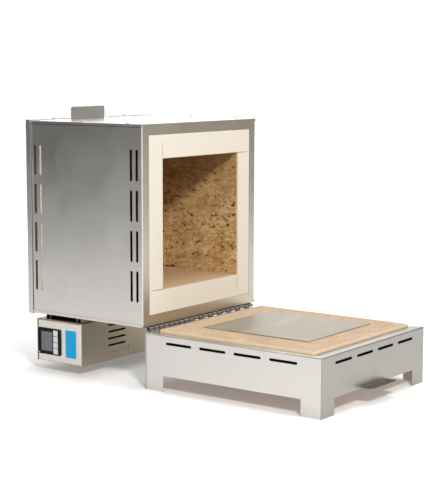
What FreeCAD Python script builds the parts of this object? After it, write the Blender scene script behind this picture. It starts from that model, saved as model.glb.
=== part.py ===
import FreeCAD, Part
import math
import os

V = FreeCAD.Vector
X, Y, Z = V(1, 0, 0), V(0, 1, 0), V(0, 0, 1)

# Hobby kiln with a hood that tips back on a piano hinge, in mm, drawn with the hood open.
# +Z is up, -Y is the front, and the floor is z = 0. While drawing, y = 0 is the base's rear face.
hood_w = 430.0          # across the folded lips of the top panel
hood_h = 450.0          # its height when open, its length when shut
hood_d = 347.4          # mouth to the outside of the rear cover
base_l = 460.0
base_h = 127.0
sheet = 1.2             # stainless sheet of hood, base and housing
bend = 1.2              # inside radius of a fold
play = 0.3              # between pieces that only lie against each other
lap = 0.1               # between sheets that lap
small_sides = 8         # flats round a small hole, screw or rivet
large_sides = 16        # flats round a foot, gland or knuckle

# Piano hinge
hinge_in = 15.0         # hood's side to the end of the hinge
knuckle_count = 22
knuckle_r = 3.75
knuckle_gap = 0.4
leaf_t = 1.5
leaf_w = 22.0
hinge_pin_r = 2.2
pin_play = 0.05
leaf_seat = 4.0         # pin's centre to the wall that a leaf lies on
rim_to_knuckle = 0.6    # between the base's rim and the knuckles above it
mouth_rise = 3.2        # the shut hood's mouth stands this far above the pin's centre

# Base
side_rim = 18.0
front_rim = 28.0
rear_rim = 24.0
leg_w = 50.0
leg_h = 36.0
corner_flange = 16.0
lip_w = 110.0
lip_out = 27.0
lip_corner_r = 10.0
side_slot_l = 70.0
side_slot_pitch = 91.0
front_slot_l = 66.0
front_slot_pitch = 86.5
base_slot_w = 6.0
base_slot_drop = 18.0   # rim to the middle of the slots
slot_count = 4
tray_rise = 2.0         # tray above the top of the leg openings
tray_wall = 30.0
tray_t = 1.0
slab_t = 52.0
slab_r = 6.0
seal_gap = 0.3          # between the slab and the shut hood's mouth
plate_w = 259.0
plate_l = 274.0
plate_t = 2.5
plate_chamfer = 0.5
plate_side = 6.0        # and this far to the right
plate_forward = 6.0     # the loose plate lies this far in front of the chamber's middle
rivet_r = 1.6
rivet_head_r = 3.2
rivet_head_h = 1.3
rivet_tail_r = 2.5
rivet_tail_h = 2.2
rivet_in = 7.5          # from the base's side
rivet_low = 19.0
rivet_drop = 41.0       # rim to the upper rivets

# Hood sheets
mouth_flange = 25.0
panel_lip = 7.0
screw_flange = 18.0
rear_flange = 20.0
cover_flange = 15.0
tab_w = 120.0
tab_h = 26.0
tab_corner_r = 5.0
relief_r = 1.8
hood_slot_l = 70.0
hood_slot_pitch = 89.5
hood_slot_w = 6.6
front_slot_in = 15.4    # mouth to the first column
rear_slot_in = 27.0     # cover to the last column
slot_column = 16.5
screw_r = 2.0
screw_head_r = 3.8
screw_head_h = 2.2
screw_l = 8.0
hole_play = 0.1
screw_in = 11.0
screw_first = 50.4      # mouth to the first screw
screw_pitch = 134.0
screw_count = 3
cover_screw_x = 128.0
housing_screw_off = 12.5    # vents to the screw beside them
housing_screw_up = 20.7

# Lining
chamber_w = 283.0
chamber_h = 292.0
chamber_d = 262.4
board_t = 12.0
board_in = 9.0          # panels above and below to the rear board
board_start = 67.0      # mouth to the front edge of the boards at the sides
brick_gap = 1.5         # hood's sides to the rear brick
rear_brick_t = 50.0
groove_count = 4
groove_pitch = 70.0
groove_w = 13.0
groove_depth = 14.0
groove_margin = 14.0    # chamber wall to the end of a groove
coil_r = 6.0
tail_r = 2.0
tail_play = 0.6
tail_in = 11.7          # how far the tails reach into the housing
bush_r = 5.0
bush_l = 26.0
bush_collar = 3.0       # its width and its thickness
bush_below = 4.0        # bush below the housing's wall
probe_r = 3.5
probe_tip = 15.0        # how far the probe stands into the chamber
probe_back = 48.0       # rear brick to the probe
probe_head_w = 18.2
probe_in = 16.0         # how far the probe reaches into the housing

# Controller housing under the open hood
housing_in = 182.4      # mouth to the housing
housing_w = 140.0
housing_h = 100.0
housing_end = 2.0       # hood's side to the end of the housing
housing_drop = 11.4
housing_flange = 12.0
cover_lip = 30.0
end_recess = 4.0
rail_w = 14.0
rail_in = 8.0
rear_rail_in = 22.0
rail_end = 8.0
vent_count = 5
vent_pitch = 16.0
vent_l = 63.0
vent_w = 4.6
vent_in = 123.0         # housing's end to the middle of its vents
vent_low = 19.5         # housing's underside to the lowest vent
foot_r = 12.0
foot_x = 75.0
foot_in = 22.0
bezel_w = 62.0
bezel_h = 70.5
bezel_t = 2.2
bezel_r = 4.0
bezel_up = 39.85        # housing's upper long edge to the bezel's middle, as it reads when shut
bezel_side = 2.0        # bezel's middle below the housing's middle, in the open hood
case_w = 59.0
case_h = 67.0
case_d = 60.0
window_w = 46.0
window_h = 36.0
window_down = 9.0       # bezel's top edge to the window, as it reads when shut
window_t = 1.2
lamp_r = 1.5
lamp_in = 3.4
key_count = 4
key_w = 13.6
key_h = 14.0
key_gap = 0.6
key_up = 8.5            # bezel's lower edge to the keys
key_t = 1.8
key_proud = 0.8
key_travel = 1.2
badge_w = 64.0
badge_h = 32.0
badge_t = 0.8
badge_r = 1.5
badge_down = 14.9       # bezel's lower edge to the badge
switch_w = 30.0
switch_h = 22.0
switch_rim = 2.5
switch_rim_t = 1.6
switch_d = 16.0
switch_wall = 1.6
rocker_r = 10.6
rocker_depth = 4.77     # its pin below the plate
rocker_face = 8.27      # its pin to its two faces
rocker_pin_r = 1.2
rocker_tilt = 10.0
gland_in = 63.0         # housing's right end to the gland
gland_r = 10.0
gland_hex = 12.0
gland_bore_r = 5.0
gland_out = 20.0
gland_nut_t = 5.0
relay_w = 58.0
relay_h = 40.0
relay_d = 28.0
fin_gaps = 5
fin_pitch = 7.3
fin_gap_w = 6.6
sink_t = 8.4            # sink under its fins
relay_x = 60.0
block_w = 26.0
block_h = 20.0
block_d = 22.0
block_down = 5.3        # blocks below the housing's wall

# Worked out from the sizes above
base_w = hood_w
hinge_l = hood_w - 2 * hinge_in
axis_y = leaf_seat
axis_z = base_h + knuckle_r + rim_to_knuckle
mouth_y = axis_y + mouth_rise
hood_z0 = axis_z + leaf_seat
hood_z1 = hood_z0 + hood_h
hood_mid_z = hood_z0 + hood_h / 2
rear_y = mouth_y + hood_d
shut_mouth_z = axis_z + mouth_rise
slab_top = shut_mouth_z - seal_gap
frame_x = hood_w / 2 - mouth_flange - play
frame_z0 = hood_z0 + mouth_flange + play
frame_z1 = hood_z1 - mouth_flange - play
chamber_z0 = hood_mid_z - chamber_h / 2
chamber_z1 = hood_mid_z + chamber_h / 2
chamber_back = mouth_y + chamber_d
housing_y0 = mouth_y + housing_in
housing_y1 = housing_y0 + housing_w
housing_z1 = hood_z0 - housing_drop
housing_z0 = housing_z1 - housing_h
housing_mid_z = (housing_z0 + housing_z1) / 2
housing_x = hood_w / 2 - housing_end
gland_x = housing_x - gland_in
vent_x = housing_x - vent_in
housing_screw_x = vent_x - vent_l / 2 - housing_screw_off
housing_inner_y0 = housing_y0 + sheet + lap
housing_inner_y1 = housing_y1 - sheet - lap
tray_z = leg_h + tray_rise
tail_x = groove_pitch * (groove_count - 1) / 2
tail_y = chamber_back + play + groove_depth - groove_w / 2
probe_y = chamber_back - probe_back
probe_top = chamber_z0 + probe_tip
probe_low = housing_z1 - probe_in
tail_low = housing_z1 - tail_in
front_reach = base_l + lip_out
origin_shift = V(0, (front_reach - rear_y) / 2, 0)


def block(x0, x1, y0, y1, z0, z1):
    return Part.makeBox(x1 - x0, y1 - y0, z1 - z0, V(x0, y0, z0))


def bar(r, start, axis, length):
    return Part.makeCylinder(r, length, start, axis)


def ring_points(r, middle, axis, sides):
    """Corners of a regular outline round an axis, its flats at the radius r."""
    turn = FreeCAD.Rotation(Z, axis)
    reach = r / math.cos(math.pi / sides)
    angles = [(i + 0.5) * 2 * math.pi / sides for i in range(sides)]
    return [middle + turn.multVec(V(math.cos(a) * reach, math.sin(a) * reach, 0)) for a in angles]


def hole(r, start, axis, length):
    """Cutter or plug for a small hole."""
    return polygon(ring_points(r, start, axis, small_sides), axis * length)


def straight_edges(shape, axis, low, high):
    """Straight edges along axis whose middles lie between the corners low and high."""
    picked = []
    for edge in shape.Edges:
        ends = [vertex.Point for vertex in edge.Vertexes]
        if len(ends) != 2:
            continue
        span = ends[1] - ends[0]
        if abs(span.Length - edge.Length) > 0.001 or abs(span.dot(axis)) < 0.999 * edge.Length:
            continue
        mid = (ends[0] + ends[1]) * 0.5
        if low.x <= mid.x <= high.x and low.y <= mid.y <= high.y and low.z <= mid.z <= high.z:
            picked.append(edge)
    return picked


def rounded(shape, r, axis, low, high):
    return shape.makeFillet(r, straight_edges(shape, axis, low, high))


def rounded_all(shape, r, axis):
    far = V(9999, 9999, 9999)
    return rounded(shape, r, axis, -far, far)


def polygon(points, depth):
    """Prism on a closed outline."""
    return Part.Face(Part.makePolygon(points + [points[0]])).extrude(depth)


def slot(middle, along, through, length, width, depth):
    """Cutter with round ends, centred on a sheet."""
    side = through.cross(along)
    start = middle - through * depth / 2
    points = []
    for end in (1, -1):
        centre = start + along * end * (length - width) / 2
        for i in range(small_sides // 2 + 1):
            angle = math.pi * (2 * i / small_sides - 0.5)
            spoke = along * math.cos(angle) + side * math.sin(angle)
            points.append(centre + spoke * end * width / 2)
    return polygon(points, through * depth)


def row(count, pitch):
    """Places of a row of count things, centred on 0."""
    return [(i - (count - 1) / 2) * pitch for i in range(count)]


def bowl(u0, u1, v0, v1, z0, z1, sides, r):
    """Block whose lower edge is rounded on the named sides."""
    body = block(u0, u1, v0, v1, z0, z1)
    past = 1.0
    wide, long = u1 - u0 + 2 * past, v1 - v0 + 2 * past
    waste = {
        "u0": ((u0 - past, u0 + r, v0 - past, v1 + past), V(u0 + r, v0 - past, z0 + r), Y, long),
        "u1": ((u1 - r, u1 + past, v0 - past, v1 + past), V(u1 - r, v0 - past, z0 + r), Y, long),
        "v0": ((u0 - past, u1 + past, v0 - past, v0 + r), V(u0 - past, v0 + r, z0 + r), X, wide),
        "v1": ((u0 - past, u1 + past, v1 - r, v1 + past), V(u0 - past, v1 - r, z0 + r), X, wide),
    }
    for side in sides:
        corner, start, axis, length = waste[side]
        body = body.cut(block(*corner, z0 - past, z0 + r).cut(bar(r, start, axis, length)))
    return body


def pan(u, v, flanges, t=sheet, r=bend):
    """Folded sheet on the plane z = 0, its flanges rising from the sides u0, u1, v0 and v1."""
    top = max(flanges.values())
    past = 1.0
    low_u = t if "u0" in flanges else -past
    low_v = t if "v0" in flanges else -past
    high_u = u - t if "u1" in flanges else u + past
    high_v = v - t if "v1" in flanges else v + past
    outer = bowl(0, u, 0, v, 0, top, flanges, r + t)
    folded = outer.cut(bowl(low_u, high_u, low_v, high_v, t, top + past, flanges, r))
    edge = t + 0.01
    trims = {
        "u0": (-past, edge, -past, v + past),
        "u1": (u - edge, u + past, -past, v + past),
        "v0": (-past, u + past, -past, edge),
        "v1": (-past, u + past, v - edge, v + past),
    }
    for side, width in flanges.items():
        if width < top:
            folded = folded.cut(block(*trims[side], width, top + past))
    return folded


def stand(shape, corner, u_axis, v_axis):
    """Turns a piece drawn flat so that its x and y lie along the two axes, with its origin at corner."""
    n = u_axis.cross(v_axis)
    turn = FreeCAD.Matrix(
        u_axis.x, v_axis.x, n.x, corner.x,
        u_axis.y, v_axis.y, n.y, corner.y,
        u_axis.z, v_axis.z, n.z, corner.z,
        0, 0, 0, 1)
    placed = shape.copy()
    placed.Placement = FreeCAD.Placement(turn)
    return placed


def turned(profile, start, axis, sides=small_sides):
    """Turned form from (radius, distance) points in order along the axis."""
    piece = None
    for (r0, h0), (r1, h1) in zip(profile, profile[1:]):
        if h1 == h0:
            continue
        ends = []
        for r, h in ((r0, h0), (r1, h1)):
            points = ring_points(r, start + axis * h, axis, sides)
            ends.append(Part.makePolygon(points + [points[0]]))
        part = Part.makeLoft(ends, True, True)
        piece = part if piece is None else piece.fuse(part)
    return piece.removeSplitter()


def screw(head_at, axis):
    """Pan-head screw whose head lies on a sheet at head_at, its shank along axis."""
    crown = screw_head_h * 0.5
    return turned([
        (screw_head_r * 0.6, -screw_head_h), (screw_head_r, -crown), (screw_head_r, 0),
        (screw_r, 0), (screw_r, screw_l)], head_at, axis)


def rivet(head_at, axis, grip):
    """Blind rivet: flat dome outside, shank through the sheets, set tail inside."""
    return turned([
        (rivet_head_r * 0.6, -rivet_head_h), (rivet_head_r, 0), (rivet_r, 0), (rivet_r, grip),
        (rivet_tail_r, grip), (rivet_tail_r, grip + rivet_tail_h)], head_at, axis)


def mirror_x(shape):
    return shape.mirror(V(0, 0, 0), X)


def rivet_places():
    x = base_w / 2 - rivet_in
    return [(side * x, z) for side in (-1, 1) for z in (rivet_low, base_h - rivet_drop)]


def base_side_panel():
    """Left skirt: rim on top, narrow flanges behind the front and rear panels, legs and a row of slots."""
    length = base_l - 2 * (sheet + lap)
    rim = side_rim - play
    panel = pan(length, base_h, {"u0": corner_flange, "u1": corner_flange, "v1": rim})
    panel = stand(panel, V(-base_w / 2, -base_l + sheet + lap, 0), Y, Z)
    inside = 2 * corner_flange
    panel = panel.cut(leg_opening_x().common(block(-base_w, -base_w / 2 + inside, -base_l, 0, -1, base_h)))
    z = base_h - base_slot_drop
    for y in row(slot_count, side_slot_pitch):
        at = V(-base_w / 2, y - base_l / 2, z)
        panel = panel.cut(slot(at, Y, X, side_slot_l, base_slot_w, 4 * sheet))
    for side_x, rivet_z in rivet_places():
        if side_x < 0:
            panel = panel.cut(hole(rivet_r + hole_play, V(side_x, -base_l - 1, rivet_z), Y, corner_flange))
    return panel.cut(rim_mitres(False))


def leg_opening_x():
    """Room between the front and rear legs, right across the base."""
    room = block(-base_w, base_w, -base_l + leg_w, -leg_w, -1, leg_h)
    return rounded(room, bend, X, V(-base_w, -base_l, leg_h - 0.1), V(base_w, 0, leg_h + 0.1))


def leg_opening_y():
    """Room between the left and right legs, right through the base."""
    room = block(-base_w / 2 + leg_w, base_w / 2 - leg_w, -2 * base_l, base_l, -1, leg_h)
    return rounded(room, bend, Y, V(-base_w, -base_l, leg_h - 0.1), V(base_w, base_l, leg_h + 0.1))


def rim_mitres(keep_ends):
    """Wedges that part the rims along the corners' diagonals."""
    low, high = base_h - 3 * sheet, base_h + 1
    edge = base_w / 2
    cutters = []
    for side in (-1, 1):
        for outer_y, toward, rim in ((-base_l, 1, front_rim), (0, -1, rear_rim)):
            corner = V(side * (edge + 0.01), outer_y - toward * 0.01, low)
            inner = V(side * (edge - side_rim), outer_y + toward * rim, low)
            if keep_ends:
                other = V(side * (edge + 0.01), outer_y + toward * rim, low)
                shift = V(side * -lap, 0, 0)
            else:
                other = V(side * (edge - side_rim), outer_y - toward * 0.01, low)
                shift = V(0, toward * lap, 0)
            cutters.append(polygon([corner + shift, inner + shift, other + shift], Z * (high - low)))
    return Part.makeCompound(cutters)


def base_front_panel():
    """Front plate, riveted over the side panels' flanges, its hand lip bent out below."""
    panel = pan(base_h, base_w, {"u1": front_rim - play})
    panel = stand(panel, V(-base_w / 2, -base_l, 0), Z, X)
    front = block(-base_w, base_w, -base_l - 1, -base_l + sheet + 1, -1, base_h)
    panel = panel.cut(leg_opening_y().common(front))
    lip = block(-lip_w / 2, lip_w / 2, -front_reach, -base_l + sheet, leg_h, leg_h + sheet)
    lip = rounded(lip, lip_corner_r, Z, V(-lip_w, -front_reach - 1, 0), V(lip_w, -front_reach + 1, base_h))
    panel = panel.fuse(lip).removeSplitter()
    fold = V(0, -base_l, leg_h + sheet)
    near = V(1, 0.01, 0.01)
    panel = rounded(panel, bend, X, fold - near, fold + near)
    z = base_h - base_slot_drop
    for x in row(slot_count, front_slot_pitch):
        panel = panel.cut(slot(V(x, -base_l, z), X, Y, front_slot_l, base_slot_w, 4 * sheet))
    for x, rivet_z in rivet_places():
        panel = panel.cut(hole(rivet_r + hole_play, V(x, -base_l - 1, rivet_z), Y, corner_flange))
    corners = block(-base_w, base_w, -base_l + sheet, 0, base_h - 3 * sheet, base_h + 1)
    return panel.cut(rim_mitres(True).common(corners))


def base_rear_panel():
    """Rear plate, spot-welded over the side panels' flanges. The hinge's lower leaf lies on it."""
    panel = pan(base_w, base_h, {"v1": rear_rim - play})
    panel = stand(panel, V(-base_w / 2, 0, 0), X, Z)
    panel = panel.cut(leg_opening_y().common(block(-base_w, base_w, -sheet - 1, 1, -1, base_h)))
    corners = block(-base_w, base_w, -base_l, -sheet, base_h - 3 * sheet, base_h + 1)
    return panel.cut(rim_mitres(True).common(corners))


def base_rivets():
    grip = 2 * sheet + lap
    return Part.makeCompound([rivet(V(x, -base_l, z), Y, grip) for x, z in rivet_places()])


def base_tray():
    """Pan under the insulation, spot-welded inside the skirt."""
    inset = sheet + play
    width = base_w - 2 * inset
    length = base_l - 2 * (2 * sheet + lap + play)
    walls = {"u0": tray_wall, "u1": tray_wall, "v0": tray_wall, "v1": tray_wall}
    tray = pan(width, length, walls, tray_t)
    return stand(tray, V(-width / 2, -base_l / 2 - length / 2, tray_z), X, Y)


def hearth_board():
    """Insulation board that fills the tray and carries the slab."""
    half_w = base_w / 2 - sheet - tray_t - 2 * play
    half_l = base_l / 2 - 2 * sheet - lap - tray_t - 2 * play
    low = tray_z + tray_t
    board = block(-half_w, half_w, -base_l / 2 - half_l, -base_l / 2 + half_l, low, slab_top - slab_t)
    corners = V(-base_w, -base_l, low - 1), V(base_w, 0, low + 1)
    lower = straight_edges(board, X, *corners) + straight_edges(board, Y, *corners)
    return board.makeChamfer(tray_t + bend, lower)


def hearth_slab():
    """Fibrous refractory slab, standing a little above the rims, its corners and upper edges rounded."""
    half = base_w / 2 - side_rim
    slab = block(-half, half, -base_l + front_rim, -rear_rim, slab_top - slab_t, slab_top)
    upright = straight_edges(slab, Z, V(-base_w, -base_l, 0), V(base_w, 0, slab_top))
    top = [e for e in slab.Edges if abs(e.CenterOfMass.z - slab_top) < 0.01]
    return slab.makeFillet(slab_r, upright + top)


def kiln_plate():
    """Loose plate for the work, which the shut hood's chamber clears."""
    low_x = plate_side - plate_w / 2
    low_y = axis_y - leaf_seat - hood_h / 2 - plate_forward - plate_l / 2
    plate = block(low_x, low_x + plate_w, low_y, low_y + plate_l, slab_top, slab_top + plate_t)
    return plate.makeChamfer(plate_chamfer, plate.Edges)


def hinge_leaf(lower):
    """Spot-welded leaf with rolled knuckles in every second place, clear of the other leaf's knuckles."""
    pitch = hinge_l / knuckle_count
    inner = leaf_seat - leaf_t
    room = knuckle_r + knuckle_gap
    end = leaf_seat + leaf_w
    flat_r = knuckle_r * math.cos(math.pi / large_sides)
    leaf = block(-hinge_l / 2, hinge_l / 2, -leaf_seat, -inner, -end, -room)
    for i in range(knuckle_count):
        if i % 2 != (0 if lower else 1):
            continue
        low = -hinge_l / 2 + i * pitch + knuckle_gap / 2
        length = pitch - knuckle_gap
        root = block(low, low + length, -leaf_seat, -inner, -room - 0.5, 0)
        root = root.cut(block(low, low + length, -leaf_seat - 1, -knuckle_r, -knuckle_r, 1))
        ring = polygon(ring_points(flat_r, V(low, 0, 0), X, large_sides), X * length)
        leaf = leaf.fuse(ring.fuse(root))
    bore = ring_points(hinge_pin_r + pin_play, V(-hinge_l, 0, 0), X, large_sides)
    leaf = leaf.cut(polygon(bore, X * 2 * hinge_l))
    if not lower:
        leaf = leaf.mirror(V(0, 0, 0), Y + Z)
    leaf.translate(V(0, axis_y, axis_z))
    return leaf.removeSplitter()


def hinge_pin():
    return bar(hinge_pin_r, V(-hinge_l / 2, axis_y, axis_z), X, hinge_l)


def hood_side_panel():
    """Left side of the hood: mitred mouth flange, screw flanges, two double columns of slots."""
    depth = hood_d - sheet - play
    height = hood_h - 2 * (sheet + lap)
    panel = pan(depth, height, {"u0": mouth_flange - sheet - lap, "u1": rear_flange, "v0": screw_flange,
                                "v1": screw_flange})
    left = -hood_w / 2 + sheet + lap
    panel = stand(panel, V(left, mouth_y, hood_z0 + sheet + lap), Y, Z)
    first, last = mouth_y + front_slot_in, rear_y - rear_slot_in
    for y in (first, first + slot_column, last - slot_column, last):
        for z in row(slot_count, hood_slot_pitch):
            at = V(left, y, hood_mid_z + z)
            panel = panel.cut(slot(at, Z, X, hood_slot_l, hood_slot_w, 4 * sheet))
    for y in screw_rows():
        at = V(left + screw_in, y, hood_z1 - 3 * sheet)
        panel = panel.cut(hole(screw_r + hole_play, at, Z, 3 * sheet))
    return panel.cut(mouth_mitres(True))


def screw_rows():
    return [mouth_y + screw_first + i * screw_pitch for i in range(screw_count)]


def mouth_mitres(side_panels):
    """Wedges that part the four mouth flanges along the frame's diagonals."""
    half, reach, past = hood_w / 2, 1.2 * mouth_flange, 5.0
    start = mouth_y - 1
    cutters = []
    for side in (-1, 1):
        for edge_z, toward in ((hood_z0, 1), (hood_z1, -1)):
            corner = V(side * half, start, edge_z)
            inner = corner + V(-side * reach, 0, toward * reach)
            if side_panels:
                drop = V(0, 0, toward * play)
                wedge = [corner + drop, inner + drop, V(inner.x, start, edge_z - toward * past),
                         V(corner.x, start, edge_z - toward * past)]
            else:
                outer_x = side * (half + past)
                wedge = [corner, inner, V(outer_x, start, inner.z), V(outer_x, start, edge_z)]
            cutters.append(polygon(wedge, Y * (1 + sheet + bend if side_panels else 1 + sheet + 0.01)))
    wedges = Part.makeCompound(cutters)
    if side_panels:
        return wedges
    end = start + past
    inside = block(-half + sheet, half - sheet, start, end, hood_z0, hood_z1)
    between = block(-hood_w, hood_w, start, end, hood_z0 + panel_lip, hood_z1 - panel_lip)
    return wedges.common(inside.fuse(between))


def hood_top_panel():
    """Top of the open hood, its lips lapped over the sides, its front flange mitred into the mouth."""
    depth = hood_d - sheet - bend
    panel = pan(depth, hood_w, {"u0": mouth_flange, "v0": panel_lip, "v1": panel_lip})
    panel = stand(panel, V(-hood_w / 2, mouth_y, hood_z1), Y, X)
    for side in (-1, 1):
        for y in screw_rows():
            x = side * (hood_w / 2 - sheet - lap - screw_in)
            panel = panel.cut(hole(screw_r + hole_play, V(x, y, hood_z1 - 2 * sheet), Z, 3 * sheet))
    for cutter in cover_screw_holes(hood_z1 - 2 * sheet):
        panel = panel.cut(cutter)
    return panel.cut(mouth_mitres(False))


def hood_bottom_panel():
    """Underside of the open hood, which is its rear wall when shut: holes for tails, probe and bushes."""
    depth = hood_d - sheet - bend
    panel = pan(hood_w, depth, {"v0": mouth_flange, "u0": panel_lip, "u1": panel_lip})
    panel = stand(panel, V(-hood_w / 2, mouth_y, hood_z0), X, Y)
    for cutter in lead_holes(bush_r + hole_play, hood_z0 - 1, hood_z0 + 2 * sheet):
        panel = panel.cut(cutter)
    for cutter in cover_screw_holes(hood_z0 - 2 * sheet):
        panel = panel.cut(cutter)
    return panel.cut(mouth_mitres(False))


def cover_screw_holes(low):
    """Holes through the cover's flange and the panel behind it, top or bottom."""
    y = rear_y - cover_flange / 2
    return [hole(screw_r + hole_play, V(x, y, low), Z, 4 * sheet) for x in (-cover_screw_x, cover_screw_x)]


def lead_holes(r, low, high):
    """Upright holes for the two tails and the probe."""
    places = [(-tail_x, tail_y), (tail_x, tail_y), (0, probe_y)]
    return [hole(r, V(x, y, low), Z, high - low) for x, y in places]


def hood_rear_cover():
    """Lid-like cover, the top of the shut hood, with flanges all round and a hand tab in its own plane."""
    grow = sheet + lap
    width, height = hood_w + 2 * grow, hood_h + 2 * grow
    flange = {"u0": cover_flange, "u1": cover_flange, "v0": cover_flange, "v1": cover_flange}
    cover = pan(width, height, flange)
    for u in (0, width):
        for v in (0, height):
            cover = cover.cut(hole(relief_r, V(u, v, -1), Z, 1 + sheet + bend))
    tab_u0, tab_u1 = width / 2 - tab_w / 2, width / 2 + tab_w / 2
    notch = block(tab_u0 - relief_r, tab_u1 + relief_r, height - sheet - bend, height + 1,
                  -1, cover_flange + 1)
    cover = cover.cut(notch)
    end = height + tab_h
    tab = block(tab_u0, tab_u1, height - 2 * (sheet + bend), end, 0, sheet)
    tab = rounded(tab, tab_corner_r, Z, V(0, end - 1, -1), V(width, end + 1, sheet + 1))
    cover = cover.fuse(tab).removeSplitter()
    cover = stand(cover, V(-width / 2, rear_y, hood_z0 - grow), X, Z)
    for cutter in cover_screw_holes(hood_z1 - sheet) + cover_screw_holes(hood_z0 - 3 * sheet):
        cover = cover.cut(cutter)
    return cover


def hood_screws():
    """Screws of the top panel, and the cover's screws above and below."""
    x = hood_w / 2 - sheet - lap - screw_in
    grow = sheet + lap
    y = rear_y - cover_flange / 2
    screws = [screw(V(side * x, y, hood_z1), -Z) for side in (-1, 1) for y in screw_rows()]
    for cover_x in (-cover_screw_x, cover_screw_x):
        screws.append(screw(V(cover_x, y, hood_z1 + grow), -Z))
        screws.append(screw(V(cover_x, y, hood_z0 - grow), Z))
    return Part.makeCompound(screws)


def lining_boards():
    """Thin insulation boards round the bricks: left, right, top and bottom."""
    near, far = mouth_y + sheet + play, chamber_back
    x0, x1 = frame_x + play, frame_x + play + board_t
    z0, z1 = frame_z0 - play, frame_z1 + play
    left = block(-x1, -x0, mouth_y + board_start, far, z0 - board_t, z1 + board_t)
    top = block(-frame_x, frame_x, near, far, z1, z1 + board_t)
    bottom = block(-frame_x, frame_x, near, far, z0 - board_t, z0)
    probe_hole = hole(probe_r + tail_play, V(0, probe_y, hood_z0), Z, hood_h / 2)
    return {"board_left": left, "board_right": mirror_x(left), "board_top": top,
            "board_bottom": bottom.cut(probe_hole)}


def wall_bricks():
    """Four fire bricks laid in a pinwheel round the chamber, their faces flush with the mouth."""
    near, far = mouth_y, chamber_back
    fx, cx = frame_x, chamber_w / 2
    probe_hole = hole(probe_r + tail_play, V(0, probe_y, hood_z0), Z, hood_h / 2)
    bottom = block(-fx, cx - play / 2, near, far, frame_z0, chamber_z0 - play / 2)
    return {
        "brick_left": block(-fx, -cx - play / 2, near, far, chamber_z0 + play / 2, frame_z1),
        "brick_top": block(-cx + play / 2, fx, near, far, chamber_z1 + play / 2, frame_z1),
        "brick_right": block(cx + play / 2, fx, near, far, frame_z0, chamber_z1 - play / 2),
        "brick_bottom": bottom.cut(probe_hole),
    }


def groove_span():
    return chamber_z0 + groove_margin, chamber_z1 - groove_margin


def rear_brick():
    """Brick behind the chamber, the roof of the shut kiln, with grooves for the coils."""
    half = hood_w / 2 - 2 * sheet - lap - brick_gap
    near, far = chamber_back + play, chamber_back + play + rear_brick_t
    brick = block(-half, half, near, far, frame_z0 - play - board_t, frame_z1 + play + board_t)
    low, high = groove_span()
    bottom_y = near + groove_depth
    places = row(groove_count, groove_pitch)
    for x in places:
        brick = brick.cut(block(x - groove_w / 2, x + groove_w / 2, near - 1, bottom_y, low, high))
    for i in range(groove_count - 1):
        z = high - groove_w if i % 2 == 0 else low
        brick = brick.cut(block(places[i], places[i + 1], near - 1, bottom_y, z, z + groove_w))
    for x in (-tail_x, tail_x):
        brick = brick.cut(hole(tail_r + tail_play, V(x, tail_y, hood_z0), Z, low + 1 - hood_z0))
    return brick


def rear_board():
    """Insulation board between the rear brick and the cover."""
    near = chamber_back + 2 * play + rear_brick_t
    far = rear_y - 2 * sheet - 2 * play
    half = hood_w / 2 - sheet - lap - 5 * sheet
    z0, z1 = hood_z0 + board_in, hood_z1 - board_in
    return block(-half, half, near, far, z0, z1)


def heating_coils():
    """One zigzag of wound wire, drawn as its outer sleeve, lying in the grooves."""
    low, high = groove_span()
    start, end = low + groove_w / 2, high - groove_w / 2
    points = []
    for i, x in enumerate(row(groove_count, groove_pitch)):
        near, far = (start, end) if i % 2 == 0 else (end, start)
        points += [V(x, tail_y, near), V(x, tail_y, far)]
    points[0] -= Z * coil_r
    points[-1] -= Z * coil_r
    outline = ring_points(coil_r, points[0], Z, small_sides)
    sleeve = Part.makePolygon(outline + [outline[0]])
    return Part.Wire(Part.makePolygon(points)).makePipeShell([sleeve], True, False, 1)


def coil_tails():
    """Thick straight ends of the wire, which leave through the lower wall."""
    length = groove_span()[0] + groove_w / 2 - coil_r - lap - tail_low
    return Part.makeCompound([hole(tail_r, V(x, tail_y, tail_low), Z, length) for x in (-tail_x, tail_x)])


def tail_bushes():
    """Ceramic tubes with a collar, where the tails pass the two sheet walls."""
    bushes = []
    low = housing_z1 - sheet - bush_below
    for x in (-tail_x, tail_x):
        tube = hole(bush_r, V(x, tail_y, low), Z, bush_l)
        tube = tube.fuse(hole(bush_r + bush_collar, V(x, tail_y, housing_z1 + play), Z, bush_collar))
        bushes.append(tube.cut(hole(tail_r + lap, V(x, tail_y, low - 1), Z, bush_l + 2)))
    return Part.makeCompound(bushes)


def thermocouple():
    """Closed ceramic tube with a round tip, in a square head inside the housing."""
    length = probe_top - probe_low
    return turned([(probe_r, 0), (probe_r, length - probe_r), (probe_r * 0.8, length - probe_r * 0.4),
                   (probe_r * 0.3, length)], V(0, probe_y, probe_low), Z)


def thermocouple_head():
    """Square connection head clamped on the lower end of the probe."""
    top = housing_z1 - sheet - lap - play
    half = probe_head_w / 2
    head = block(-half, half, probe_y - half, probe_y + half, probe_low + play, top)
    return head.cut(hole(probe_r + lap, V(0, probe_y, probe_low - 1), Z, top - probe_low + 2))


def terminal_blocks():
    """Porcelain blocks that clamp the ends of the tails."""
    top = housing_z1 - sheet - block_down
    low_y = tail_y - block_d / 2
    blocks = []
    for x in (-tail_x, tail_x):
        body = block(x - block_w / 2, x + block_w / 2, low_y, low_y + block_d, top - block_h, top)
        blocks.append(body.cut(hole(tail_r + lap, V(x, tail_y, tail_low - play), Z, top + 1 - tail_low)))
    return Part.makeCompound(blocks)


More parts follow.
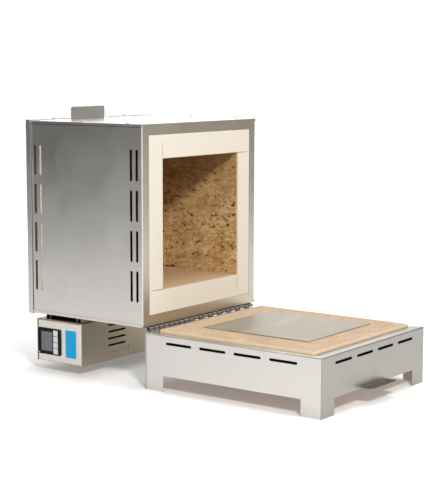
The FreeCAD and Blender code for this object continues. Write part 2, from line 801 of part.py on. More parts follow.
def spacer_rails():
    """Channel bars along the hood's underside that carry the housing clear of the hot wall."""
    length = 2 * (housing_x - rail_end)
    height = housing_drop - 2 * lap
    rail = pan(length, rail_w, {"v0": height, "v1": height})
    low = V(-length / 2, 0, hood_z0 - lap)
    front = stand(rail, low + V(0, housing_y0 + rail_in + rail_w, 0), X, -Y)
    rear = stand(rail, low + V(0, housing_y1 - rear_rail_in, 0), X, -Y)
    return {"spacer_rail_front": front, "spacer_rail_rear": rear}


def housing_wrap():
    """U-folded housing: the wall under the hood and the two long walls, vented on the front one."""
    length = 2 * housing_x
    wrap = pan(length, housing_w, {"v0": housing_h, "v1": housing_h})
    wrap = stand(wrap, V(-housing_x, housing_y1, housing_z1), X, -Y)
    for side in (-1, 1):
        for i in range(vent_count):
            z = housing_z0 + vent_low + i * vent_pitch
            wrap = wrap.cut(slot(V(side * vent_x, housing_y0, z), X, Y, vent_l, vent_w, 4 * sheet))
    for cutter in lead_holes(bush_r + hole_play, housing_z1 - 2 * sheet, housing_z1 + 1):
        wrap = wrap.cut(cutter)
    for cutter in housing_screw_holes():
        wrap = wrap.cut(cutter)
    return wrap.cut(hole(gland_r + hole_play, V(gland_x, housing_y0 - 1, housing_mid_z), Y, 3 * sheet))


def housing_screw_places():
    z = housing_z0 + housing_screw_up
    return [(V(x, y, z), axis) for x in (-housing_screw_x, housing_screw_x)
            for y, axis in ((housing_y0, Y), (housing_y1, -Y))]


def housing_screw_holes():
    r = screw_r + hole_play
    return [hole(r, at - axis, axis, 1 + 3 * sheet) for at, axis in housing_screw_places()]


def housing_screws():
    return Part.makeCompound([screw(at, axis) for at, axis in housing_screw_places()])


def housing_cover():
    """Closing plate with long lips inside the walls and two holes for the rubber feet."""
    length = 2 * (housing_x - end_recess)
    width = housing_inner_y1 - housing_inner_y0
    cover = pan(length, width, {"v0": cover_lip, "v1": cover_lip})
    cover = stand(cover, V(-length / 2, housing_inner_y0, housing_z0), X, Y)
    for x in (-foot_x, foot_x):
        at = V(x, housing_y1 - foot_in, housing_z0 - 1)
        cover = cover.cut(hole(foot_r / 3 + hole_play, at, Z, 3 * sheet))
    for cutter in housing_screw_holes():
        cover = cover.cut(cutter)
    return cover


def rubber_feet():
    """Turned rubber buffers on which the open hood rests, each with a plug pressed through the cover."""
    feet = []
    for x in (-foot_x, foot_x):
        foot = turned([
            (foot_r * 0.75, 0), (foot_r * 0.85, 2), (foot_r, housing_z0 - 2), (foot_r, housing_z0 - lap)],
            V(x, housing_y1 - foot_in, 0), Z, large_sides)
        plug = hole(foot_r / 3, V(x, housing_y1 - foot_in, foot_r), Z, housing_z0 + 2 * sheet - foot_r)
        feet.append(foot.fuse(plug))
    return Part.makeCompound(feet)


def bezel_centre():
    return V(-housing_x, housing_y1 - bezel_up, housing_mid_z - bezel_side)


def face_plate():
    """End plate that carries the controller, its flanges tucked inside the housing."""
    width = housing_inner_y1 - housing_inner_y0 - 2 * (sheet + lap)
    height = housing_h - 2 * (sheet + lap)
    plate = pan(width, height, {side: housing_flange for side in ("u0", "u1", "v0", "v1")})
    plate = stand(plate, V(-housing_x, housing_inner_y0 + sheet + lap, housing_z0 + sheet + lap), Y, Z)
    middle = bezel_centre()
    half_y, half_z = case_h / 2 + lap, case_w / 2 + lap
    return plate.cut(block(-housing_x - 1, -housing_x + 2 * sheet, middle.y - half_y, middle.y + half_y,
                           middle.z - half_z, middle.z + half_z))


def end_plate():
    """Recessed end plate with the main switch."""
    width = housing_inner_y1 - housing_inner_y0 - 2 * (sheet + lap)
    height = housing_h - 2 * (sheet + lap)
    plate = pan(height, width, {side: housing_flange for side in ("u0", "u1", "v0", "v1")})
    at = housing_x - end_recess
    plate = stand(plate, V(at, housing_inner_y0 + sheet + lap, housing_z0 + sheet + lap), Z, Y)
    middle_y = (housing_y0 + housing_y1) / 2
    return plate.cut(block(at - 2 * sheet, at + 1, middle_y - switch_w / 2, middle_y + switch_w / 2,
                           housing_mid_z - switch_h / 2, housing_mid_z + switch_h / 2))


def controller_case():
    """Closed case of the controller behind the face plate, open in front for window and keys."""
    middle = bezel_centre()
    half_y, half_z = case_h / 2, case_w / 2
    front = -housing_x + lap
    case = block(front, front + case_d, middle.y - half_y, middle.y + half_y,
                 middle.z - half_z, middle.z + half_z)
    pocket = key_travel + key_t + 1
    low_y = middle.y - bezel_h / 2 + key_up - play
    case = case.cut(block(front - 1, front + pocket, low_y, low_y + key_h + 2 * play, middle.z - half_z + 1,
                          middle.z + half_z - 1))
    return case


def key_places():
    """Middle heights of the keys, which stand in a column in the open hood and in a row when it is shut."""
    return row(key_count, key_w + key_gap)


def controller_bezel():
    """Black front frame with a window, a hole for each key and a seat for the lamp."""
    middle = bezel_centre()
    half_y, half_z = bezel_h / 2, bezel_w / 2
    back = -housing_x - lap / 2
    frame = block(back - bezel_t, back, middle.y - half_y, middle.y + half_y,
                  middle.z - half_z, middle.z + half_z)
    frame = rounded_all(frame, bezel_r, X)
    top = middle.y + half_y - window_down
    frame = frame.cut(block(back - bezel_t - 1, back + 1, top - window_h, top, middle.z - window_w / 2,
                            middle.z + window_w / 2))
    low_y = middle.y - half_y + key_up
    for z in key_places():
        low_z = middle.z + z - key_w / 2
        frame = frame.cut(block(back - bezel_t - 1, back + 1, low_y, low_y + key_h, low_z, low_z + key_w))
    lamp = V(back - bezel_t - 1, middle.y + half_y - lamp_in, middle.z - half_z + lamp_in)
    return frame.cut(hole(lamp_r + lap, lamp, X, bezel_t + 2))


def display_window():
    """Dark pane set a little back in the bezel."""
    middle = bezel_centre()
    front = -housing_x - lap / 2 - window_t - lap
    top = middle.y + bezel_h / 2 - window_down
    return block(front, front + window_t, top - window_h + lap, top - lap, middle.z - window_w / 2 + lap,
                 middle.z + window_w / 2 - lap)


def status_lamp():
    middle = bezel_centre()
    back = -housing_x - lap / 2
    at = V(back, middle.y + bezel_h / 2 - lamp_in, middle.z - bezel_w / 2 + lamp_in)
    return hole(lamp_r, at, -X, bezel_t + play)


def keys():
    """Flat keys with softened faces, each free to be pressed into the case."""
    middle = bezel_centre()
    face = -housing_x - lap / 2 - bezel_t - key_proud
    back = face + key_proud + bezel_t + lap
    low_y = middle.y - bezel_h / 2 + key_up
    made = {}
    for i, z in enumerate(key_places()):
        cap = block(face, back, low_y + play, low_y + key_h - play, middle.z + z - key_w / 2 + play,
                    middle.z + z + key_w / 2 - play)
        front = [e for e in cap.Edges if abs(e.CenterOfMass.x - face) < 0.01]
        made[f"key_{i + 1}"] = cap.makeChamfer(key_proud / 2, front)
    return made


def badge_plate():
    """Bare plate fixed beside the controller."""
    middle = bezel_centre()
    top = middle.y - bezel_h / 2 - badge_down
    back = -housing_x - lap / 2
    plate = block(back - badge_t, back, top - badge_h, top, middle.z - badge_w / 2, middle.z + badge_w / 2)
    return rounded_all(plate, badge_r, X)


def power_relay():
    """Solid-state relay on a finned sink that stands on the cover's lips."""
    low = housing_z0 + sheet + play
    low_y = (housing_y0 + housing_y1) / 2 - relay_h
    x0, x1 = relay_x - relay_w / 2, relay_x + relay_w / 2
    sink = block(x0, x1, low_y, low_y + 2 * relay_h, low, low + relay_d)
    for i in range(fin_gaps):
        y = low_y + (i * 2 + 1) * fin_pitch
        sink = sink.cut(block(x0 - 1, x1 + 1, y, y + fin_gap_w, low + sink_t, low + relay_d + 1))
    return sink


def cable_gland():
    """Hexagon body, domed cap and threaded stub of the mains gland, open through the middle."""
    at = V(gland_x, housing_y0 - lap, housing_mid_z)
    collar = polygon(ring_points(gland_hex, at, -Y, 6), Y * -gland_nut_t)
    cap = turned([(gland_hex * 0.86, 0), (gland_hex * 0.86, gland_out * 0.4),
                  (gland_bore_r * 1.6, gland_out - gland_nut_t)], at - Y * gland_nut_t, -Y, large_sides)
    stub = polygon(ring_points(gland_r, at, Y, small_sides), Y * (2 * gland_nut_t + 2 * sheet))
    body = collar.fuse(cap).fuse(stub).removeSplitter()
    return body.cut(hole(gland_bore_r, at - Y * 2 * gland_out, Y, 4 * gland_out))


def gland_nut():
    at = V(gland_x, housing_y0 + sheet + lap, housing_mid_z)
    nut = polygon(ring_points(gland_hex, at, Y, 6), Y * gland_nut_t)
    return nut.cut(hole(gland_r + lap, at - Y, Y, 3 * gland_nut_t))


def gland_seal():
    """Closed rubber insert that blanks the gland."""
    at = V(gland_x, housing_y0 - lap - gland_out + 1, housing_mid_z)
    return hole(gland_bore_r - lap, at, Y, gland_out + gland_nut_t)


def switch_centre():
    return V(housing_x - end_recess, (housing_y0 + housing_y1) / 2, housing_mid_z)


def switch_frame():
    """Snap-in frame of the main switch with a rim outside the plate and a deep body inside."""
    middle = switch_centre()
    half_y, half_z = switch_w / 2 - lap, switch_h / 2 - lap
    body = block(middle.x - switch_d, middle.x + switch_rim_t + lap, middle.y - half_y, middle.y + half_y,
                 middle.z - half_z, middle.z + half_z)
    rim_y, rim_z = half_y + switch_rim, half_z + switch_rim
    rim = block(middle.x + lap, middle.x + lap + switch_rim_t, middle.y - rim_y, middle.y + rim_y,
                middle.z - rim_z, middle.z + rim_z)
    rim = rounded_all(rim, switch_rim / 2, X)
    room_y, room_z = half_y - switch_wall, half_z - switch_wall
    room = block(middle.x - switch_d + switch_wall, middle.x + switch_d, middle.y - room_y,
                 middle.y + room_y, middle.z - room_z, middle.z + room_z)
    frame = body.fuse(rim).removeSplitter().cut(room)
    pin_at = V(middle.x - rocker_depth, middle.y, middle.z - half_z + switch_wall / 2)
    pin = bar(rocker_pin_r, pin_at, Z, 2 * half_z - switch_wall)
    return frame.fuse(pin).removeSplitter()


def switch_rocker():
    """Rocker with two flat faces that meet in a shallow valley, turning on the frame's pin."""
    middle = switch_centre()
    half_z = switch_h / 2 - lap - switch_wall - play
    pivot = V(middle.x - rocker_depth, middle.y, middle.z - half_z)
    drum = bar(rocker_r, pivot, Z, 2 * half_z)
    keep = []
    for side in (-1, 1):
        turn = FreeCAD.Rotation(Z, side * rocker_tilt)
        wedge = block(rocker_face, 3 * rocker_r, -3 * rocker_r, 3 * rocker_r, -1, 2 * half_z + 1)
        wedge.Placement = FreeCAD.Placement(pivot, turn)
        keep.append(wedge)
    valley = keep[0].common(keep[1])
    drum = drum.cut(valley)
    reach = 3 * rocker_r
    drum = drum.cut(block(pivot.x - reach, pivot.x - rocker_pin_r * 2, pivot.y - reach, pivot.y + reach,
                          pivot.z - 1, pivot.z + 2 * half_z + 1))
    rocker = drum.cut(bar(rocker_pin_r + pin_play, pivot - Z * 5, Z, 2 * half_z + 10))
    rocker.rotate(pivot, Z, -rocker_tilt)
    return rocker


left_skirt = base_side_panel()
left_side = hood_side_panel()
pieces = {
    "base_left_panel": left_skirt,
    "base_right_panel": mirror_x(left_skirt),
    "base_front_panel": base_front_panel(),
    "base_rear_panel": base_rear_panel(),
    "base_rivets": base_rivets(),
    "base_tray": base_tray(),
    "hearth_board": hearth_board(),
    "hearth_slab": hearth_slab(),
    "kiln_plate": kiln_plate(),
    "hinge_leaf_lower": hinge_leaf(True),
    "hinge_leaf_upper": hinge_leaf(False),
    "hinge_pin": hinge_pin(),
    "hood_left_panel": left_side,
    "hood_right_panel": mirror_x(left_side),
    "hood_top_panel": hood_top_panel(),
    "hood_bottom_panel": hood_bottom_panel(),
    "hood_rear_cover": hood_rear_cover(),
    "hood_screws": hood_screws(),
    "rear_brick": rear_brick(),
    "rear_board": rear_board(),
    "heating_coils": heating_coils(),
    "coil_tails": coil_tails(),
    "tail_bushes": tail_bushes(),
    "thermocouple": thermocouple(),
    "thermocouple_head": thermocouple_head(),
    "terminal_blocks": terminal_blocks(),
    "housing_wrap": housing_wrap(),
    "housing_cover": housing_cover(),
    "housing_screws": housing_screws(),
    "rubber_feet": rubber_feet(),
    "face_plate": face_plate(),
    "end_plate": end_plate(),
    "controller_case": controller_case(),
    "controller_bezel": controller_bezel(),
    "display_window": display_window(),
    "status_lamp": status_lamp(),
    "badge_plate": badge_plate(),
    "power_relay": power_relay(),
    "cable_gland": cable_gland(),
    "gland_nut": gland_nut(),
    "gland_seal": gland_seal(),
    "switch_frame": switch_frame(),
    "switch_rocker": switch_rocker(),
    **lining_boards(),
    **wall_bricks(),
    **spacer_rails(),
    **keys(),
}

os.makedirs("parts", exist_ok=True)
for node, shape in pieces.items():
    placed = shape.copy()
    placed.translate(origin_shift)
    placed.exportStep(f"parts/{node}.step")
    print(node, len(placed.Solids), "valid" if placed.isValid() else "NOT VALID", round(placed.Volume))
print("origin shift", round(origin_shift.y, 3), "pin at", axis_y + origin_shift.y, axis_z)
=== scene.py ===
import math
import random

import bmesh
import bpy
from mathutils import Matrix, Vector


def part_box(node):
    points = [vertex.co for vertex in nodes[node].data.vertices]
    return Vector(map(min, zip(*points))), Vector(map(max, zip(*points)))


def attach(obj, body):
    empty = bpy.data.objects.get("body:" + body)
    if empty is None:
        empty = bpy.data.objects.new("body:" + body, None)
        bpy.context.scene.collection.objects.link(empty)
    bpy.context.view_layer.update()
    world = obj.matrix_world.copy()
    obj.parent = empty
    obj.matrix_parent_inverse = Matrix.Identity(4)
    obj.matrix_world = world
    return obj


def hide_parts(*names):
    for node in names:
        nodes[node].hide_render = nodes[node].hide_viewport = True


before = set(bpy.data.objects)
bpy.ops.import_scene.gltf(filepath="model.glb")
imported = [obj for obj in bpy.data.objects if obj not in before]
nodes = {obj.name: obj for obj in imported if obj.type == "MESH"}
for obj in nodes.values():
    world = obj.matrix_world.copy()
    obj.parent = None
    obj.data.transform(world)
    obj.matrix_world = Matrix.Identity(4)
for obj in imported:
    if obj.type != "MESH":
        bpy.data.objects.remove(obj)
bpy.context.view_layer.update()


# Studio: a plain pale floor under soft lamps. A large dim board stands at the left and back, out of
# view, and smaller ones at the right and behind. The steel mirrors them, as in a real studio.
def build_material(name):
    """An empty material with its output and one principled shader."""
    material = bpy.data.materials.new(name)
    material.use_nodes = True
    tree = material.node_tree
    tree.nodes.clear()
    out = tree.nodes.new("ShaderNodeOutputMaterial")
    shader = tree.nodes.new("ShaderNodeBsdfPrincipled")
    tree.links.new(shader.outputs["BSDF"], out.inputs["Surface"])
    return material, tree, shader


def add(tree, kind, values=None, **settings):
    """A node with its settings, its sockets filled with numbers or joined to other sockets."""
    node = tree.nodes.new(kind)
    for name, value in settings.items():
        setattr(node, name, value)
    for key, value in (values or {}).items():
        if isinstance(value, bpy.types.NodeSocket):
            tree.links.new(value, node.inputs[key])
        else:
            node.inputs[key].default_value = value
    return node


def reckon(tree, how, first, second=0.5, third=None):
    """A sum of one, two or three values, as its result."""
    values = {0: first, 1: second}
    if third is not None:
        values[2] = third
    return add(tree, "ShaderNodeMath", values, operation=how).outputs[0]


def spread(tree, value, low, high, to_low, to_high):
    """Maps a value from the range low to high onto to_low to to_high, and clamps it there."""
    node = add(tree, "ShaderNodeMapRange", {"Value": value, "From Min": low, "From Max": high,
                                            "To Min": to_low, "To Max": to_high})
    return node.outputs["Result"]


def find_shown_rays(tree):
    """1 for rays that show a thing to the camera, also by way of a mirror or a pane."""
    path = add(tree, "ShaderNodeLightPath").outputs
    shown = reckon(tree, "MAXIMUM", path["Is Camera Ray"], path["Is Glossy Ray"])
    return reckon(tree, "MAXIMUM", shown, path["Is Transmission Ray"])


scene = bpy.context.scene
scene.view_settings.view_transform = "Standard"

camera_place = Vector((-2.5597, -1.8678, 0.7138))
camera_turn, camera_dip, camera_roll = (math.radians(angle) for angle in (-53.53, 7.56, 0.09))
focal_length_px, picture_height_px, film_mm = 1398, 500, 36.0
camera_data = bpy.data.cameras.new("Camera")
camera_data.sensor_width = film_mm
camera_data.lens = focal_length_px / picture_height_px * film_mm
camera_data.clip_end = 40.0
camera = bpy.data.objects.new("Camera", camera_data)
scene.collection.objects.link(camera)
camera.matrix_world = (Matrix.Translation(camera_place) @ Matrix.Rotation(camera_turn, 4, "Z")
                       @ Matrix.Rotation(math.pi / 2 - camera_dip, 4, "X")
                       @ Matrix.Rotation(camera_roll, 4, "Z"))
scene.camera = camera

world = bpy.data.worlds.new("Studio")
scene.world = world
world.use_nodes = True
air = world.node_tree
air.nodes.clear()
soft_air = add(air, "ShaderNodeBackground", {"Color": (1.0, 0.985, 0.965, 1.0), "Strength": 0.37})
white_air = add(air, "ShaderNodeBackground", {"Color": (1.0, 1.0, 1.0, 1.0), "Strength": 1.0})
mixed = add(air, "ShaderNodeMixShader", {0: find_shown_rays(air), 1: soft_air.outputs[0],
                                             2: white_air.outputs[0]})
add(air, "ShaderNodeOutputWorld", {"Surface": mixed.outputs[0]})

floor_reach = 9.0
floor_mesh = bpy.data.meshes.new("Floor")
floor_mesh.from_pydata([(-floor_reach, -floor_reach, 0), (floor_reach, -floor_reach, 0),
                        (floor_reach, floor_reach, 0), (-floor_reach, floor_reach, 0)], [], [(0, 1, 2, 3)])
floor = bpy.data.objects.new("Floor", floor_mesh)
scene.collection.objects.link(floor)
floor_paint, tree, shader = build_material("White studio floor")
shader.inputs["Base Color"].default_value = (0.90, 0.895, 0.895, 1.0)
shader.inputs["Roughness"].default_value = 0.75
where = add(tree, "ShaderNodeTexCoord").outputs["Object"]

# The floor lights itself a little for the camera, least under the base and the housing, whose footprints
# are given as (middle, half size).
footprints = (((0.0, -0.162, 0.0), (0.215, 0.232, 0.0)), ((0.0, 0.326, 0.0), (0.215, 0.07, 0.0)))
edge_width, fade_end = 0.06, 1.6
lift_under, lift_beside, lift_far = 0.18, 0.36, 0.34


def measure(how, first, second=(0.0, 0.0, 0.0)):
    """Vector arithmetic in the floor's material."""
    return add(tree, "ShaderNodeVectorMath", {0: first, 1: second}, operation=how)


away = floor_reach
for middle, half in footprints:
    offset = measure("ABSOLUTE", measure("SUBTRACT", where, middle).outputs[0]).outputs[0]
    beyond = measure("MAXIMUM", measure("SUBTRACT", offset, half).outputs[0]).outputs[0]
    away = reckon(tree, "MINIMUM", measure("LENGTH", beyond).outputs["Value"], away)
lift = reckon(tree, "ADD", spread(tree, away, 0.0, edge_width, lift_under, lift_beside),
              spread(tree, away, edge_width, fade_end, 0.0, lift_far))
glow = add(tree, "ShaderNodeEmission", {"Strength": lift})
both = add(tree, "ShaderNodeAddShader", {0: shader.outputs["BSDF"], 1: glow.outputs[0]})
pick = add(tree, "ShaderNodeMixShader", {0: find_shown_rays(tree), 1: shader.outputs["BSDF"],
                                         2: both.outputs[0]})
tree.links.new(pick.outputs[0], tree.nodes["Material Output"].inputs["Surface"])
floor_mesh.materials.append(floor_paint)


def stand_board(name, place, width, height, grey, lights_up=True):
    """A dim upright board that faces the kiln and isn't seen by the camera. Only steel sees it if it
    doesn't light up the kiln."""
    mesh = bpy.data.meshes.new(name)
    half = width / 2
    mesh.from_pydata([(-half, 0, 0), (half, 0, 0), (half, 0, height), (-half, 0, height)], [], [(0, 1, 2, 3)])
    board = bpy.data.objects.new(name, mesh)
    scene.collection.objects.link(board)
    board.location = place
    board.rotation_euler = (0, 0, math.atan2(-place[0], place[1]))
    board.visible_camera = False
    board.visible_shadow = False
    board.visible_diffuse = lights_up
    paint, tree, shader = build_material(name)
    shader.inputs["Base Color"].default_value = (*grey, 1.0)
    shader.inputs["Roughness"].default_value = 0.9
    mesh.materials.append(paint)


stand_board("Dim board left", (-1.75, 1.75, 0.02), 3.2, 2.2, (0.05, 0.055, 0.048))
stand_board("Dim board right", (2.1, -1.75, 0.02), 2.8, 1.7, (0.36, 0.34, 0.29))
stand_board("Dim board far right", (2.7, 0.1, 0.02), 1.5, 1.2, (0.30, 0.30, 0.29), lights_up=False)
stand_board("Dim board behind", (0.1, 2.8, 0.02), 1.9, 1.1, (0.30, 0.30, 0.29), lights_up=False)

kiln_middle = Vector((0, 0, 0.25))
lamp_colour = (1.0, 0.98, 0.95)


def hang_lamp(name, azimuth, height, distance, size, power):
    """A square soft lamp aimed at the kiln's middle. azimuth and height are angles in degrees."""
    data = bpy.data.lights.new(name, "AREA")
    data.shape = "SQUARE"
    data.size = size
    data.energy = power
    data.color = lamp_colour
    lamp = bpy.data.objects.new(name, data)
    scene.collection.objects.link(lamp)
    a, e = math.radians(azimuth), math.radians(height)
    back = Vector((math.sin(a) * math.cos(e), -math.cos(a) * math.cos(e), math.sin(e)))
    lamp.location = kiln_middle + back * distance
    lamp.visible_camera = False
    lamp.rotation_mode = "QUATERNION"
    lamp.rotation_quaternion = (-back).to_track_quat("-Z", "Y")


hang_lamp("Key lamp", -42, 33, 3.4, 0.4, 69)
hang_lamp("Top lamp", 60, 78, 2.6, 1.9, 36)
hang_lamp("Back lamp", 127, 15, 3.6, 1.9, 13)


# Stainless sheet of base and hood: 1.2 mm, cold-rolled to a satin face, folded and spot-welded.
# It has a faint grain along its length, cloudy handling marks and slight waves, and the mouth is browned.
def blend_colours(tree, factor, first, second):
    """Mixes two colours, each a socket or three numbers."""
    node = add(tree, "ShaderNodeMix", {"Factor": factor}, data_type="RGBA", blend_type="MIX")
    for socket, value in ((node.inputs[6], first), (node.inputs[7], second)):
        if isinstance(value, bpy.types.NodeSocket):
            tree.links.new(value, socket)
        else:
            socket.default_value = (*value, 1.0)
    return node.outputs[2]


def open_group(name, kind, inputs, outputs):
    """A node group of a kind, with its inputs given as (name, kind, value) and outputs as (name, kind)."""
    group = bpy.data.node_groups.new(name, kind)
    for label, socket_kind, value in inputs:
        socket = group.interface.new_socket(label, in_out="INPUT", socket_type=socket_kind)
        if value is not None:
            socket.default_value = value
    for label, socket_kind in outputs:
        group.interface.new_socket(label, in_out="OUTPUT", socket_type=socket_kind)
    return group, group.nodes.new("NodeGroupInput"), group.nodes.new("NodeGroupOutput")


def place_group(tree, group, values):
    """Places a shader group with its inputs."""
    return add(tree, "ShaderNodeGroup", values, node_tree=group)


satin_sheet, enter, leave = open_group(
    "Satin sheet", "ShaderNodeTree",
    [("Vector", "NodeSocketVector", None), ("Stretch", "NodeSocketVector", (1.0, 1.0, 1.0)),
     ("Cloud scale", "NodeSocketFloat", 9.0)],
    [("Streak", "NodeSocketFloat"), ("Cloud", "NodeSocketFloat"), ("Height", "NodeSocketFloat")])
spot = enter.outputs["Vector"]
drawn = add(satin_sheet, "ShaderNodeVectorMath", {0: spot, 1: enter.outputs["Stretch"]},
            operation="MULTIPLY").outputs[0]
fine = add(satin_sheet, "ShaderNodeTexNoise", {"Vector": drawn, "Scale": 1.0, "Detail": 5.0,
                                               "Roughness": 0.7})
cloud = add(satin_sheet, "ShaderNodeTexNoise", {
    "Vector": spot, "Scale": enter.outputs["Cloud scale"], "Detail": 4.0, "Roughness": 0.6, "Distortion": 0.5})
wave = add(satin_sheet, "ShaderNodeTexNoise", {"Vector": spot, "Scale": 6.0, "Detail": 1.0})
satin_sheet.links.new(fine.outputs["Fac"], leave.inputs["Streak"])
satin_sheet.links.new(spread(satin_sheet, cloud.outputs["Fac"], 0.3, 0.7, 0.0, 1.0), leave.inputs["Cloud"])
height = reckon(satin_sheet, "MULTIPLY_ADD", fine.outputs["Fac"], 0.01, wave.outputs["Fac"])
satin_sheet.links.new(height, leave.inputs["Height"])

mouth_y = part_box("hood_left_panel")[0][1]
# The last colour is a painted shade line under the top panel's lips.
grain_grey, brown_tint, lip_shade_black = (0.30, 0.29, 0.27), (0.50, 0.42, 0.28), (0.05, 0.05, 0.045)


def find_normal(tree):
    """The surface's direction, as its three parts."""
    normal = add(tree, "ShaderNodeNewGeometry").outputs["Normal"]
    return add(tree, "ShaderNodeSeparateXYZ", {"Vector": normal}).outputs


def satin_steel(name, stretch, light, dark, rough=0.30, tint=None, lip_shade=None, roof_rough=None):
    """A satin stainless material. tint is (y of the mouth, depth, lowest z) for the browned flanges, and the
    next argument is (half width, z) of a dark line painted as the shade under the top panel's lips, where
    they end on the sides. Faces that look up take roof_rough instead of rough."""
    material, tree, shader = build_material(name)
    where = add(tree, "ShaderNodeTexCoord").outputs["Object"]
    grain = place_group(tree, satin_sheet, {"Vector": where, "Stretch": stretch, "Cloud scale": 11.0})
    streak, cloud = grain.outputs["Streak"], grain.outputs["Cloud"]
    place = add(tree, "ShaderNodeSeparateXYZ", {"Vector": where}).outputs
    colour = blend_colours(tree, cloud, dark, light)
    colour = blend_colours(tree, spread(tree, streak, 0.3, 0.7, 0.0, 0.06), colour, grain_grey)
    if tint:
        front, depth, lowest = tint
        near = spread(tree, place["Y"], front, front + depth, 1.0, 0.0)
        lower = spread(tree, place["Z"], lowest, lowest + 0.10, 0.85, 0.40)
        colour = blend_colours(tree, reckon(tree, "MULTIPLY", near, lower), colour, brown_tint)
    # A thin dark line painted on the sides is the shade under the top panel's lip edges.
    if lip_shade:
        half_width, level = lip_shade
        beside = spread(tree, reckon(tree, "ABSOLUTE", place["X"]), half_width, half_width + 0.0005, 0.0, 1.0)
        behind = spread(tree, place["Y"], mouth_y + 0.003, mouth_y + 0.004, 0.0, 0.75)
        off = reckon(tree, "ABSOLUTE", reckon(tree, "SUBTRACT", place["Z"], level))
        line = reckon(tree, "MULTIPLY", spread(tree, off, 0.0004, 0.0011, 1.0, 0.0),
                      reckon(tree, "MULTIPLY", beside, behind))
        colour = blend_colours(tree, line, colour, lip_shade_black)
    tree.links.new(colour, shader.inputs["Base Color"])
    shader.inputs["Metallic"].default_value = 1.0
    if roof_rough:
        rough = spread(tree, find_normal(tree)["Z"], 0.7, 0.9, rough, roof_rough)
    uneven = reckon(tree, "MULTIPLY_ADD", cloud, 0.06, rough)
    tree.links.new(reckon(tree, "MULTIPLY_ADD", streak, 0.04, uneven), shader.inputs["Roughness"])
    bump = add(tree, "ShaderNodeBump", {"Strength": 0.25, "Distance": 0.002, "Height": grain.outputs["Height"]})
    tree.links.new(bump.outputs["Normal"], shader.inputs["Normal"])
    return material


def dress(material, *names):
    """Gives CAD nodes their material."""
    for name in names:
        slots = nodes[name].material_slots
        if not slots:
            nodes[name].data.materials.append(material)
        for slot in slots:
            slot.material = material


steel_light, steel_dark = (0.66, 0.645, 0.62), (0.60, 0.585, 0.56)
grain_down, grain_across = (650.0, 5.0, 650.0), (5.0, 650.0, 650.0)
lip_end = (-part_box("hood_left_panel")[0][0] - 0.001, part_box("hood_top_panel")[1][2] - 0.0076)
hood_steel = satin_steel("Hood steel", grain_down, steel_light, steel_dark,
                         tint=(mouth_y - 0.001, 0.004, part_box("hood_bottom_panel")[0][2]), lip_shade=lip_end,
                         roof_rough=0.13)
dress(hood_steel, "hood_left_panel", "hood_right_panel", "hood_bottom_panel", "hood_top_panel")
skirt_steel = satin_steel("Skirt steel", grain_down, (0.665, 0.64, 0.615), (0.61, 0.585, 0.565))
dress(skirt_steel, "base_left_panel", "base_right_panel")
across_steel = satin_steel("Steel rolled side to side", grain_across, steel_light, steel_dark)
dress(across_steel, "base_rear_panel", "hood_rear_cover")
tray_steel = satin_steel("Browned tray steel", grain_across, (0.60, 0.39, 0.20), (0.46, 0.29, 0.14))
dress(tray_steel, "base_tray")
# The front panel is the same stainless sheet in a much darker colour: painted shade.
shaded_front_steel = satin_steel("Front sheet steel, darkened as painted shade", grain_across, (0.385, 0.37, 0.345), (0.335, 0.325, 0.305))
dress(shaded_front_steel, "base_front_panel")


# Piano hinge: two steel leaves rolled round one pin, welded to the base's back and the hood's underside.
# Handling has polished the knuckles, and each knuckle darkens towards its ends: painted shade between the
# knuckles.
def ramp(tree, value, stops):
    """Turns a value into colours given as (place, colour)."""
    node = add(tree, "ShaderNodeValToRGB", {"Fac": value})
    band = node.color_ramp
    while len(band.elements) < len(stops):
        band.elements.new(0.5)
    for element, (place, colour) in zip(band.elements, stops):
        element.position = place
        element.color = (*colour, 1.0)
    return node.outputs["Color"]


knuckles_per_metre = 55.0
hinge_steel, tree, shader = build_material("Hinge steel")
where = add(tree, "ShaderNodeTexCoord").outputs["Object"]
grain = place_group(tree, satin_sheet, {"Vector": where, "Stretch": (700.0, 60.0, 60.0), "Cloud scale": 60.0})
place = add(tree, "ShaderNodeSeparateXYZ", {"Vector": where}).outputs
knuckle = reckon(tree, "FRACT", reckon(tree, "MULTIPLY", place["X"], knuckles_per_metre))
# Near-black bands at each knuckle's ends are painted shade between the knuckles.
edge = reckon(tree, "ABSOLUTE", reckon(tree, "SUBTRACT", knuckle, 0.5))
knuckle_end_shade = spread(tree, edge, 0.36, 0.47, 0.0, 0.97)
colour = ramp(tree, grain.outputs["Streak"], [(0.3, (0.26, 0.25, 0.24)), (0.7, (0.46, 0.45, 0.43))])
colour = blend_colours(tree, knuckle_end_shade, colour, (0.03, 0.028, 0.025))
tree.links.new(colour, shader.inputs["Base Color"])
shader.inputs["Metallic"].default_value = 1.0
tree.links.new(spread(tree, grain.outputs["Cloud"], 0.0, 1.0, 0.20, 0.34), shader.inputs["Roughness"])
dress(hinge_steel, "hinge_leaf_lower", "hinge_leaf_upper", "hinge_pin")


# Fire bricks: soft porous blocks sawn to size and laid in a pinwheel round the chamber. The sawn mouth
# faces are cream. The chamber walls are brown, partly fired colour and partly painted shade, with their
# pits painted near black as shade, and the outer flanks are painted near black as shade.
pitted, enter, leave = open_group(
    "Pitted brick", "ShaderNodeTree",
    [("Vector", "NodeSocketVector", None), ("Pit scale", "NodeSocketFloat", 115.0),
     ("Pit share", "NodeSocketFloat", 0.385)],
    [("Pits", "NodeSocketFloat"), ("Shade", "NodeSocketFloat"), ("Grit", "NodeSocketFloat"),
     ("Height", "NodeSocketFloat")])
lean = add(pitted, "ShaderNodeMapping", {"Vector": enter.outputs["Vector"], "Rotation": (-0.26, 0.0, 0.0),
                                         "Scale": (0.9, 0.62, 1.1)}).outputs[0]
clumps = add(pitted, "ShaderNodeTexNoise", {"Vector": lean, "Scale": enter.outputs["Pit scale"],
                                            "Detail": 4.0, "Roughness": 0.68})
